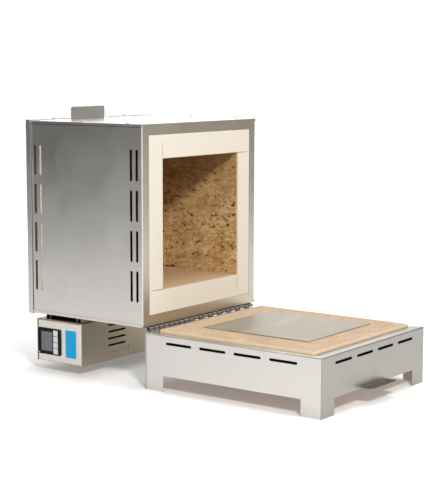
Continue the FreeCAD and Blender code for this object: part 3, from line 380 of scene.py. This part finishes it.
patch = add(pitted, "ShaderNodeTexNoise", {"Vector": lean, "Scale": 26.0, "Detail": 3.0, "Roughness": 0.6})
bar = reckon(pitted, "MULTIPLY_ADD", patch.outputs["Fac"], 0.22,
             reckon(pitted, "SUBTRACT", enter.outputs["Pit share"], 0.11))
pit = spread(pitted, reckon(pitted, "SUBTRACT", bar, clumps.outputs["Fac"]), 0.0, 0.03, 0.0, 1.0)
grit = add(pitted, "ShaderNodeTexNoise", {"Vector": lean, "Scale": 340.0, "Detail": 5.0, "Roughness": 0.8})
shade = reckon(pitted, "MULTIPLY_ADD", patch.outputs["Fac"], 0.45,
               reckon(pitted, "MULTIPLY", clumps.outputs["Fac"], 0.55))
tall = reckon(pitted, "MULTIPLY_ADD", grit.outputs["Fac"], 0.4,
              reckon(pitted, "SUBTRACT", clumps.outputs["Fac"], pit))
pitted.links.new(pit, leave.inputs["Pits"])
pitted.links.new(shade, leave.inputs["Shade"])
pitted.links.new(grit.outputs["Fac"], leave.inputs["Grit"])
pitted.links.new(tall, leave.inputs["Height"])

flank_x = -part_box("brick_left")[0][0]
chamber_x, chamber_low = -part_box("brick_left")[1][0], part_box("brick_bottom")[1][2]
chamber_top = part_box("brick_top")[0][2]
brick, tree, shader = build_material("Fire brick")
where = add(tree, "ShaderNodeTexCoord").outputs["Object"]
holes = place_group(tree, pitted, {"Vector": where})
place = add(tree, "ShaderNodeSeparateXYZ", {"Vector": where}).outputs
inside = spread(tree, place["Y"], mouth_y + 0.0006, mouth_y + 0.004, 0.0, 1.0)
upward = spread(tree, find_normal(tree)["Z"], 0.7, 0.9, 0.0, 1.0)
cream = ramp(tree, holes.outputs["Grit"], [(0.3, (0.76, 0.69, 0.60)), (0.7, (0.86, 0.80, 0.71))])
# The walls' brown is partly fired colour and partly painted shade inside the chamber.
fired_and_shaded_brown = ramp(tree, holes.outputs["Shade"], [(0.34, (0.33, 0.17, 0.045)), (0.47, (0.66, 0.41, 0.165)),
                                            (0.62, (0.92, 0.68, 0.36))])
dusk = spread(tree, holes.outputs["Grit"], 0.40, 0.56, 0.55, 0.0)
fired_and_shaded_brown = blend_colours(tree, dusk, fired_and_shaded_brown, (0.22, 0.11, 0.03))
smooth = ramp(tree, holes.outputs["Grit"], [(0.3, (0.52, 0.34, 0.18)), (0.7, (0.66, 0.47, 0.28))])
walls = blend_colours(tree, upward, fired_and_shaded_brown, smooth)
# Pits are painted near black: painted shade in the hollows.
shown = reckon(tree, "MULTIPLY", holes.outputs["Pits"], spread(tree, upward, 0.0, 1.0, 0.95, 0.05))
walls = blend_colours(tree, shown, walls, (0.035, 0.018, 0.008))

# The walls are darker towards the top: painted shade under the chamber's roof. The cream face is browned along
# the arris of the mouth.
half_z = (chamber_top - chamber_low) / 2
middle_z = reckon(tree, "MULTIPLY_ADD", place["Z"], 1 / half_z, -(chamber_low + half_z) / half_z)
roof_shade = spread(tree, middle_z, -0.2, 1.0, 0.0, 0.55)
walls = blend_colours(tree, roof_shade, walls, (0.22, 0.10, 0.02))
beside = reckon(tree, "ABSOLUTE", place["X"])
gap_x = reckon(tree, "SUBTRACT", beside, chamber_x)
gap_z = reckon(tree, "MULTIPLY_ADD", reckon(tree, "ABSOLUTE", middle_z), half_z, -half_z)
arris = spread(tree, reckon(tree, "MAXIMUM", gap_x, gap_z), 0.0006, 0.0020, 0.75, 0.0)
cream = blend_colours(tree, arris, cream, (0.50, 0.30, 0.13))

# Behind the mouth the outer flanks are painted near black: painted shade of the hood's dark inside. The rear
# brick is wider, and its flank is cream.
colour = blend_colours(tree, inside, cream, walls)
# The outer flanks take a near-black colour as painted shade.
flank_shade = spread(tree, beside, flank_x - 0.001, flank_x - 0.0004, 0.0, 1.0)
colour = blend_colours(tree, reckon(tree, "MULTIPLY", flank_shade, inside), colour, (0.012, 0.010, 0.008))
rear_flank = spread(tree, beside, flank_x + 0.010, flank_x + 0.011, 0.0, 1.0)
colour = blend_colours(tree, rear_flank, colour, (0.90, 0.84, 0.73))
tree.links.new(colour, shader.inputs["Base Color"])
shader.inputs["Roughness"].default_value = 0.95
rugged = reckon(tree, "MULTIPLY", inside, spread(tree, upward, 0.0, 1.0, 1.0, 0.12))
deep = reckon(tree, "MULTIPLY", holes.outputs["Height"], rugged)
grain_height = reckon(tree, "MULTIPLY_ADD", holes.outputs["Grit"], 0.10, deep)
bump = add(tree, "ShaderNodeBump", {"Strength": 1.0, "Distance": 0.0022, "Height": grain_height})
tree.links.new(bump.outputs["Normal"], shader.inputs["Normal"])


def soften(name, width):
    """A copy of a CAD node with its arrises rounded over a width, which stands for it."""
    copy = bpy.data.meshes.new(name + "_worn")
    work = bmesh.new()
    work.from_mesh(nodes[name].data)
    bmesh.ops.remove_doubles(work, verts=work.verts, dist=1e-6)
    bmesh.ops.dissolve_limit(work, angle_limit=math.radians(1), verts=work.verts, edges=work.edges)
    sharp = [e for e in work.edges if e.is_manifold and e.calc_face_angle(0) > math.radians(30)]
    bmesh.ops.bevel(work, geom=sharp, offset=width, segments=2, profile=0.5, affect="EDGES",
                    clamp_overlap=True)
    work.to_mesh(copy)
    work.free()
    piece = bpy.data.objects.new(name + "_worn", copy)
    scene.collection.objects.link(piece)
    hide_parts(name)
    return piece


brick_wear = 0.0009
for name in ("brick_left", "brick_top", "brick_right", "brick_bottom"):
    piece = soften(name, brick_wear)
    piece.data.materials.append(brick)
    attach(piece, "hood")
dress(brick, "rear_brick")


def grainy_material(name, noise, stops, rough, metal=0.0, shine=0.5, relief=None):
    """A material of one noise, given by its scale, detail and roughness. stops are its colours, rough is one
    value or two that follow the noise, and relief is the strength and depth of its bump."""
    material, tree, shader = build_material(name)
    where = add(tree, "ShaderNodeTexCoord").outputs["Object"]
    sockets = dict(zip(("Scale", "Detail", "Roughness"), noise))
    grain = add(tree, "ShaderNodeTexNoise", {"Vector": where, **sockets}).outputs["Fac"]
    tree.links.new(ramp(tree, grain, stops), shader.inputs["Base Color"])
    shader.inputs["Metallic"].default_value = metal
    shader.inputs["Specular IOR Level"].default_value = shine
    if isinstance(rough, tuple):
        tree.links.new(spread(tree, grain, 0.3, 0.7, *rough), shader.inputs["Roughness"])
    else:
        shader.inputs["Roughness"].default_value = rough
    if relief:
        bump = add(tree, "ShaderNodeBump", {"Strength": relief[0], "Distance": relief[1], "Height": grain})
        tree.links.new(bump.outputs["Normal"], shader.inputs["Normal"])
    return material


mortar = grainy_material("Tan mortar", (900.0, 4.0),
                         [(0.3, (0.32, 0.18, 0.07)), (0.7, (0.48, 0.30, 0.14))], 0.9)
wobble = random.Random(7)
bead_reach = 0.68 * (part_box("brick_top")[1][2] - chamber_top)
bead_radius, bead_depth, bead_steps, bead_sides = 0.0011, 0.001, 14, 8
bead_y = mouth_y + 0.00078
inward = Vector((0, bead_depth, 0))
angles = [k * math.tau / bead_sides for k in range(bead_sides)]
seams = [((-chamber_x, chamber_top), (0, 1)), ((chamber_x, chamber_top), (1, 0)),
         ((chamber_x, chamber_low), (0, -1)), ((-chamber_x, chamber_low), (-1, 0))]
work = bmesh.new()
for (x, z), (dx, dz) in seams:
    rings = []
    for i in range(bead_steps + 1):
        t = bead_reach * i / bead_steps
        r = bead_radius * (0.75 + 0.5 * wobble.random()) * (1 if i < bead_steps - 1 else 0.6)
        middle, across = Vector((x + dx * t, bead_y, z + dz * t)), Vector((dz, 0, dx))
        rings.append([work.verts.new(middle + across * r * math.cos(a) + inward * math.sin(a)) for a in angles])
    for first, second in zip(rings, rings[1:]):
        for k in range(bead_sides):
            after = (k + 1) % bead_sides
            work.faces.new((first[k], first[after], second[after], second[k]))
    work.faces.new(rings[0])
    work.faces.new(rings[-1])
bmesh.ops.recalc_face_normals(work, faces=work.faces)
mesh = bpy.data.meshes.new("joint_mortar")
work.to_mesh(mesh)
work.free()
mesh.materials.append(mortar)
beads = bpy.data.objects.new("joint_mortar", mesh)
scene.collection.objects.link(beads)
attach(beads, "hood")


# Fibre boards: pale felted insulation behind the bricks and under the slab. It shows only in the slots.
# The rear board is painted dark brown: painted shade in the slots at the back.
felt = (420.0, 6.0, 0.8)
board_felt = grainy_material("Felted insulation board", felt,
                             [(0.3, (0.86, 0.81, 0.71)), (0.7, (0.95, 0.92, 0.85))], 0.95, relief=(0.5, 0.0006))
dress(board_felt, "board_left", "board_right", "board_top", "board_bottom", "hearth_board")

shaded_felt = grainy_material("Rear insulation board, dark as painted shade", felt,
                              [(0.3, (0.10, 0.065, 0.03)), (0.7, (0.30, 0.20, 0.10))], 0.95)
dress(shaded_felt, "rear_board")


# Hearth slab: a pressed refractory board, peach with fine brown and white specks, paler at its soft
# edges. Below the rims its flanks are painted black: painted shade of the dark inside seen through the slots.
rim_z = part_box("base_left_panel")[1][2]
slab_stone, tree, shader = build_material("Speckled hearth slab")
where = add(tree, "ShaderNodeTexCoord").outputs["Object"]
cloud = add(tree, "ShaderNodeTexNoise", {"Vector": where, "Scale": 26.0, "Detail": 4.0, "Roughness": 0.6})
blotch = add(tree, "ShaderNodeTexNoise", {"Vector": where, "Scale": 110.0, "Detail": 4.0, "Roughness": 0.65})
speck = add(tree, "ShaderNodeTexNoise", {"Vector": where, "Scale": 480.0, "Detail": 3.0, "Roughness": 0.7})
fleck = add(tree, "ShaderNodeTexVoronoi", {"Vector": where, "Scale": 330.0, "Randomness": 1.0})
colour = ramp(tree, cloud.outputs["Fac"], [(0.3, (0.56, 0.405, 0.27)), (0.7, (0.68, 0.52, 0.37))])
stain = spread(tree, blotch.outputs["Fac"], 0.50, 0.66, 0.0, 0.55)
colour = blend_colours(tree, stain, colour, (0.47, 0.31, 0.18))
dots = spread(tree, speck.outputs["Fac"], 0.54, 0.64, 0.0, 0.6)
colour = blend_colours(tree, dots, colour, (0.36, 0.21, 0.11))
pale = spread(tree, fleck.outputs["Distance"], 0.10, 0.22, 0.5, 0.0)
colour = blend_colours(tree, pale, colour, (0.74, 0.62, 0.47))
flank = spread(tree, find_normal(tree)["Z"], 0.75, 0.97, 0.7, 0.0)
colour = blend_colours(tree, flank, colour, (0.74, 0.60, 0.42))
place = add(tree, "ShaderNodeSeparateXYZ", {"Vector": where}).outputs
# Below the rim the flanks are painted near black as shade.
below_rim_shade = spread(tree, place["Z"], rim_z - 0.002, rim_z, 0.96, 0.0)
colour = blend_colours(tree, below_rim_shade, colour, (0.02, 0.018, 0.015))
tree.links.new(colour, shader.inputs["Base Color"])
shader.inputs["Roughness"].default_value = 0.92
bump = add(tree, "ShaderNodeBump", {"Strength": 0.6, "Distance": 0.0009, "Height": speck.outputs["Fac"]})
tree.links.new(bump.outputs["Normal"], shader.inputs["Normal"])
dress(slab_stone, "hearth_slab")


# Kiln plate: a loose fired plate with a thin greenish glaze, which mirrors the hood a little. The glaze
# has faint slanting waves in its roughness and bump, lighter slanting patches in its colour as painted
# reflections, and fine specks.
glaze, tree, shader = build_material("Glazed plate")
where = add(tree, "ShaderNodeTexCoord").outputs["Object"]
slant = add(tree, "ShaderNodeMapping", {"Vector": where, "Rotation": (0.0, 0.0, 0.75),
                                        "Scale": (0.45, 1.6, 1.0)}).outputs[0]
wave = add(tree, "ShaderNodeTexNoise", {"Vector": slant, "Scale": 11.0, "Detail": 3.0, "Roughness": 0.5})
speck = add(tree, "ShaderNodeTexNoise", {"Vector": where, "Scale": 260.0, "Detail": 3.0})
# The lighter slanting patches in this colour are painted reflections on the glaze.
colour = ramp(tree, wave.outputs["Fac"], [(0.38, (0.27, 0.24, 0.18)), (0.52, (0.34, 0.305, 0.235)),
                                          (0.66, (0.43, 0.40, 0.325))])
dots = spread(tree, speck.outputs["Fac"], 0.6, 0.7, 0.0, 0.3)
colour = blend_colours(tree, dots, colour, (0.28, 0.25, 0.18))
tree.links.new(colour, shader.inputs["Base Color"])
tree.links.new(spread(tree, wave.outputs["Fac"], 0.3, 0.7, 0.38, 0.52), shader.inputs["Roughness"])
shader.inputs["Specular IOR Level"].default_value = 0.3
bump = add(tree, "ShaderNodeBump", {"Strength": 0.10, "Distance": 0.0006, "Height": wave.outputs["Fac"]})
tree.links.new(bump.outputs["Normal"], shader.inputs["Normal"])
dress(glaze, "kiln_plate")


# Screws and rivets: pan heads with a cross recess hold hood and housing. Domed blind rivets, each with
# the small pit of its broken mandrel, hold the base's front.
bright_steel = grainy_material("Bright fastener steel", (900.0, 3.0),
                               [(0.35, (0.36, 0.355, 0.34)), (0.6, (0.58, 0.57, 0.55))], (0.18, 0.34),
                               metal=1.0)


def close_geometry(tree, made, material, leave):
    """Ends a geometry tree: makes its instances real and gives them the material."""
    real = add(tree, "GeometryNodeRealizeInstances", {0: made})
    done = add(tree, "GeometryNodeSetMaterial", {"Geometry": real.outputs[0], "Material": material})
    tree.links.new(done.outputs[0], leave.inputs[0])


fastener, enter, leave = open_group("Fastener heads", "GeometryNodeTree", [
    ("Geometry", "NodeSocketGeometry", None),
    ("Head radius", "NodeSocketFloat", 0.0038), ("Head height", "NodeSocketFloat", 0.0022),
    ("Shank radius", "NodeSocketFloat", 0.002), ("Shank length", "NodeSocketFloat", 0.008),
    ("Recess long", "NodeSocketFloat", 0.0036), ("Recess wide", "NodeSocketFloat", 0.0008),
    ("Seed", "NodeSocketInt", 3), ("Material", "NodeSocketMaterial", None)],
    [("Geometry", "NodeSocketGeometry")])
given = enter.outputs
tall, long = given["Head height"], given["Shank length"]


def shift(shape, z, turn=0.0):
    """A shape in the fastener's tree, moved along its axis and turned about it."""
    move = add(fastener, "ShaderNodeCombineXYZ", {"Z": z}).outputs[0]
    return add(fastener, "GeometryNodeTransform", {"Geometry": shape, "Translation": move,
                                                   "Rotation": (0.0, 0.0, turn)}).outputs[0]


disc = add(fastener, "GeometryNodeMeshCylinder", {
    "Vertices": 20, "Radius": given["Head radius"], "Depth": reckon(fastener, "MULTIPLY", tall, 0.5)})
dome, top = shift(disc.outputs["Mesh"], reckon(fastener, "MULTIPLY", tall, 0.25)), disc.outputs["Top"]
for rise, shrink in ((0.28, 0.86), (0.16, 0.78), (0.06, 0.6)):
    push = add(fastener, "GeometryNodeExtrudeMesh", {
        "Mesh": dome, "Selection": top, "Individual": False,
        "Offset Scale": reckon(fastener, "MULTIPLY", tall, rise)}, mode="FACES")
    scale = add(fastener, "GeometryNodeScaleElements", {
        "Geometry": push.outputs["Mesh"], "Selection": push.outputs["Top"], "Scale": shrink}, domain="FACE")
    dome, top = scale.outputs[0], push.outputs["Top"]
cut = add(fastener, "GeometryNodeMeshBoolean", {"Mesh 1": dome}, operation="DIFFERENCE")
for turn in (0.0, math.pi / 2):
    size = add(fastener, "ShaderNodeCombineXYZ", {"X": given["Recess long"], "Y": given["Recess wide"],
                                                  "Z": tall})
    cube = add(fastener, "GeometryNodeMeshCube", {"Size": size.outputs[0]})
    fastener.links.new(shift(cube.outputs["Mesh"], tall, turn), cut.inputs["Mesh 2"])
shank = add(fastener, "GeometryNodeMeshCylinder", {"Vertices": 12, "Radius": given["Shank radius"],
                                                   "Depth": long})
whole = fastener.nodes.new("GeometryNodeJoinGeometry")
for part in (shift(shank.outputs["Mesh"], reckon(fastener, "MULTIPLY", long, -0.5)), cut.outputs[0]):
    fastener.links.new(part, whole.inputs[0])
spots = add(fastener, "GeometryNodeMeshToPoints", {"Mesh": given["Geometry"]})
facing = add(fastener, "GeometryNodeInputNamedAttribute", {"Name": "outward"}, data_type="FLOAT_VECTOR")
aim = add(fastener, "FunctionNodeAlignRotationToVector", {"Vector": facing.outputs[0]}, axis="Z")
spin = add(fastener, "FunctionNodeRandomValue", {2: 0.0, 3: math.pi, "Seed": given["Seed"]}, data_type="FLOAT")
about = add(fastener, "ShaderNodeCombineXYZ", {"Z": spin.outputs[1]})
turned = add(fastener, "FunctionNodeRotateRotation", {0: aim.outputs[0], 1: about.outputs[0]},
             rotation_space="LOCAL")
many = add(fastener, "GeometryNodeInstanceOnPoints", {
    "Points": spots.outputs[0], "Instance": whole.outputs[0], "Rotation": turned.outputs[0]})
close_geometry(fastener, many.outputs[0], given["Material"], leave)


def grow(piece, group, values):
    """Runs a geometry tree on a piece and keeps the result as its plain mesh."""
    modifier = piece.modifiers.new("Grow", "NODES")
    modifier.node_group = group
    for item in group.interface.items_tree:
        if item.in_out == "INPUT" and item.name in values:
            modifier[item.identifier] = values[item.name]
    bpy.context.view_layer.update()
    graph = bpy.context.evaluated_depsgraph_get()
    mesh = bpy.data.meshes.new_from_object(piece.evaluated_get(graph))
    piece.modifiers.clear()
    old = piece.data
    plain = bpy.data.objects.new(piece.name + "_made", mesh)
    scene.collection.objects.link(plain)
    bpy.data.objects.remove(piece)
    if isinstance(old, bpy.types.Mesh):
        bpy.data.meshes.remove(old)
    else:
        bpy.data.curves.remove(old)
    return plain


def spot_mesh(name, spots):
    """Points for heads, given as (place, direction in which the head stands out)."""
    mesh = bpy.data.meshes.new(name)
    mesh.from_pydata([place for place, _ in spots], [], [])
    outward = mesh.attributes.new("outward", "FLOAT_VECTOR", "POINT")
    for i, (_, way) in enumerate(spots):
        outward.data[i].vector = way
    piece = bpy.data.objects.new(name, mesh)
    scene.collection.objects.link(piece)
    return piece


hood_top_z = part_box("hood_top_panel")[1][2]
hood_bottom_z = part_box("hood_bottom_panel")[0][2]
cover_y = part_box("hood_rear_cover")[1][1] - 0.0075
sheet_and_gap = 0.0013
side_screw_x, side_screw_offsets, rear_screw_x = 0.2027, (0.0504, 0.1844, 0.3184), 0.128
up, down = (0, 0, 1), (0, 0, -1)
screw_spots = []
for side in (-1, 1):
    for back in side_screw_offsets:
        screw_spots.append(((side * side_screw_x, mouth_y + back, hood_top_z), up))
    for way, level in ((up, hood_top_z + sheet_and_gap), (down, hood_bottom_z - sheet_and_gap)):
        screw_spots.append(((side * rear_screw_x, cover_y, level), way))
hood_screw_heads = grow(spot_mesh("hood_screw_heads", screw_spots), fastener,
                        {"Material": bright_steel, "Seed": 3})
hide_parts("hood_screws")
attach(hood_screw_heads, "hood")

wrap_low, wrap_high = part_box("housing_wrap")
wrap_screw_z = wrap_low[2] + 0.0207
screw_spots = []
for x in (-0.046, 0.046):
    screw_spots.append(((x, wrap_low[1], wrap_screw_z), (0, -1, 0)))
    screw_spots.append(((x, wrap_high[1], wrap_screw_z), (0, 1, 0)))
housing_screw_heads = grow(spot_mesh("housing_screw_heads", screw_spots), fastener,
                           {"Material": bright_steel, "Seed": 8})
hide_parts("housing_screws")
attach(housing_screw_heads, "hood")

# The rivets sit on the front panel, which covers the side panels' front edges.
rivet_x, rivet_levels = 0.2075, (0.019, 0.086)
front_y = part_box("base_left_panel")[0][1] - sheet_and_gap
rivet_spots = [((side * rivet_x, front_y, z), (0, -1, 0)) for side in (-1, 1) for z in rivet_levels]
rivet_heads = grow(spot_mesh("base_rivet_heads", rivet_spots), fastener, {
    "Material": bright_steel, "Head radius": 0.0032, "Head height": 0.0013, "Shank radius": 0.0016,
    "Shank length": 0.0047, "Recess long": 0.0015, "Recess wide": 0.0015, "Seed": 5})
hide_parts("base_rivets")
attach(rivet_heads, "base")


# Heating coil: resistance wire wound on a mandrel, laid in the rear brick's grooves in one zigzag.
# Both thick tails leave through the lower wall, in white bushes, to porcelain blocks.
dark_wire = grainy_material("Oxidised heating wire", (500.0, 4.0),
                            [(0.35, (0.08, 0.065, 0.055)), (0.7, (0.24, 0.20, 0.165))], 0.6, metal=0.7)
dress(dark_wire, "coil_tails")

winding, enter, leave = open_group("Wound wire", "GeometryNodeTree", [
    ("Geometry", "NodeSocketGeometry", None),
    ("Coil radius", "NodeSocketFloat", 0.0052), ("Wire radius", "NodeSocketFloat", 0.0007),
    ("Pitch", "NodeSocketFloat", 0.0042), ("Corner radius", "NodeSocketFloat", 0.007),
    ("Material", "NodeSocketMaterial", None)], [("Geometry", "NodeSocketGeometry")])
given = enter.outputs


def stretch_vector(vector, factor):
    """A vector in the winding's tree, times a factor."""
    return add(winding, "ShaderNodeVectorMath", {0: vector, "Scale": factor}, operation="SCALE").outputs[0]


corners = add(winding, "GeometryNodeFilletCurve", {
    "Curve": given["Geometry"], "Radius": given["Corner radius"], "Count": 6}, mode="POLY")
bends = add(winding, "GeometryNodeResampleCurve", {
    "Curve": corners.outputs[0], "Length": reckon(winding, "DIVIDE", given["Pitch"], 12.0)}, mode="LENGTH")
along = add(winding, "GeometryNodeSplineParameter").outputs["Length"]
angle = reckon(winding, "MULTIPLY", reckon(winding, "DIVIDE", along, given["Pitch"]), math.tau)
tangent = add(winding, "GeometryNodeInputTangent").outputs[0]
inward = (0.0, 1.0, 0.0)
sideways = add(winding, "ShaderNodeVectorMath", {0: tangent, 1: inward}, operation="CROSS_PRODUCT").outputs[0]
swing = stretch_vector(sideways, reckon(winding, "COSINE", angle))
heave = stretch_vector(inward, reckon(winding, "SINE", angle))
ring = add(winding, "ShaderNodeVectorMath", {0: swing, 1: heave}, operation="ADD").outputs[0]
wound = add(winding, "GeometryNodeSetPosition", {
    "Geometry": bends.outputs[0], "Offset": stretch_vector(ring, given["Coil radius"])})
gauge = add(winding, "GeometryNodeCurvePrimitiveCircle", {"Resolution": 6, "Radius": given["Wire radius"]},
            mode="RADIUS")
wire = add(winding, "GeometryNodeCurveToMesh", {
    "Curve": wound.outputs[0], "Profile Curve": gauge.outputs[0], "Fill Caps": True})
close_geometry(winding, wire.outputs[0], given["Material"], leave)

coil_low, coil_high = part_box("heating_coils")
coil_r = (coil_high[1] - coil_low[1]) / 2
run = bpy.data.curves.new("Coil run", "CURVE")
run.dimensions = "3D"
passes, end_gap = 4, 0.001
pass_gap = (coil_high[0] - coil_low[0] - 2 * coil_r) / (passes - 1)
route = []
for i in range(passes):
    x = coil_low[0] + coil_r + i * pass_gap
    low = coil_low[2] + (end_gap if i in (0, passes - 1) else coil_r)
    high = coil_high[2] - coil_r
    route += [(x, low), (x, high)] if i % 2 == 0 else [(x, high), (x, low)]
line = run.splines.new("POLY")
line.points.add(len(route) - 1)
for point, (x, z) in zip(line.points, route):
    point.co = (x, coil_low[1] + coil_r, z, 1.0)
coil = bpy.data.objects.new("coil_winding", run)
scene.collection.objects.link(coil)
coil = grow(coil, winding, {"Material": dark_wire})
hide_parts("heating_coils")
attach(coil, "hood")

porcelain = grainy_material("White porcelain", (90.0, 3.0),
                            [(0.3, (0.78, 0.75, 0.69)), (0.7, (0.88, 0.86, 0.81))], (0.25, 0.40))
dress(porcelain, "tail_bushes", "terminal_blocks", "thermocouple")


# Controller housing: a folded stainless channel with vents, closed by end plates and hung under the
# hood on two channel rails. It stands on rubber feet when the hood is open.
# The housing is the same stainless sheet in a darker, browner colour: painted shade under the hood.
shaded_housing_steel = satin_steel("Housing steel darkened as painted shade", grain_across, (0.46, 0.405, 0.32), (0.40, 0.35, 0.27),
                            rough=0.32)
dress(shaded_housing_steel, "housing_wrap", "housing_cover", "spacer_rail_front", "spacer_rail_rear")
# The end plates are the same steel in a lighter colour: painted light of the floor's reflection.
lit_end_steel = satin_steel("Housing end steel lightened as painted light", (650.0, 650.0, 5.0), (0.76, 0.72, 0.66), (0.70, 0.66, 0.60),
                        rough=0.36)
dress(lit_end_steel, "face_plate", "end_plate")

sink_metal, tree, shader = build_material("Extruded aluminium")
where = add(tree, "ShaderNodeTexCoord").outputs["Object"]
grain = place_group(tree, satin_sheet, {"Vector": where, "Stretch": (8.0, 900.0, 900.0), "Cloud scale": 30.0})
colour = ramp(tree, grain.outputs["Streak"], [(0.3, (0.60, 0.60, 0.61)), (0.7, (0.76, 0.76, 0.77))])
tree.links.new(colour, shader.inputs["Base Color"])
shader.inputs["Metallic"].default_value = 1.0
shader.inputs["Roughness"].default_value = 0.42
dress(sink_metal, "power_relay")

rubber = grainy_material("Black rubber", (160.0, 5.0, 0.7),
                         [(0.3, (0.018, 0.018, 0.018)), (0.75, (0.055, 0.053, 0.05))], (0.62, 0.85),
                         relief=(0.2, 0.0003))
dress(rubber, "rubber_feet", "gland_seal")

black_plastic, tree, shader = build_material("Black moulded plastic")
where = add(tree, "ShaderNodeTexCoord").outputs["Object"]
leather = add(tree, "ShaderNodeTexVoronoi", {"Vector": where, "Scale": 1500.0})
dust = add(tree, "ShaderNodeTexNoise", {"Vector": where, "Scale": 70.0, "Detail": 5.0, "Roughness": 0.7})
colour = ramp(tree, dust.outputs["Fac"], [(0.35, (0.005, 0.005, 0.006)), (0.8, (0.016, 0.016, 0.015))])
tree.links.new(colour, shader.inputs["Base Color"])
tree.links.new(spread(tree, dust.outputs["Fac"], 0.3, 0.7, 0.46, 0.60), shader.inputs["Roughness"])
shader.inputs["Specular IOR Level"].default_value = 0.12
bump = add(tree, "ShaderNodeBump", {"Strength": 0.12, "Distance": 0.0001,
                                    "Height": leather.outputs["Distance"]})
tree.links.new(bump.outputs["Normal"], shader.inputs["Normal"])
dress(black_plastic, "controller_case", "thermocouple_head", "cable_gland", "gland_nut", "switch_frame",
      "switch_rocker")


# Controller: a black framed module with a grey display, a strip of four pale keys and a small lamp.
# Beside it a blue enamelled plate is fixed flat on the sheet, with nothing on it.
bezel = soften("controller_bezel", 0.0004)
bezel.data.materials.append(black_plastic)
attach(bezel, "hood")

pane = grainy_material("Grey display pane", (60.0, 3.0),
                       [(0.3, (0.125, 0.135, 0.15)), (0.7, (0.165, 0.175, 0.19))], (0.10, 0.18))
dress(pane, "display_window")

key_plastic = grainy_material("Pale key plastic", (240.0, 4.0),
                              [(0.3, (0.74, 0.76, 0.78)), (0.7, (0.86, 0.88, 0.90))], (0.36, 0.48))
dress(key_plastic, "key_1", "key_2", "key_3", "key_4")

lamp_lens, tree, shader = build_material("Lamp lens")
where = add(tree, "ShaderNodeTexCoord").outputs["Object"]
facets = add(tree, "ShaderNodeTexVoronoi", {"Vector": where, "Scale": 2200.0})
colour = ramp(tree, facets.outputs["Distance"], [(0.1, (0.50, 0.72, 0.84)), (0.6, (0.66, 0.86, 0.95))])
tree.links.new(colour, shader.inputs["Base Color"])
shader.inputs["Roughness"].default_value = 0.15
dress(lamp_lens, "status_lamp")

badge = grainy_material("Blue enamel plate", (50.0, 4.0),
                        [(0.3, (0.006, 0.40, 0.80)), (0.7, (0.012, 0.47, 0.90))], (0.38, 0.50), shine=0.25)
dress(badge, "badge_plate")
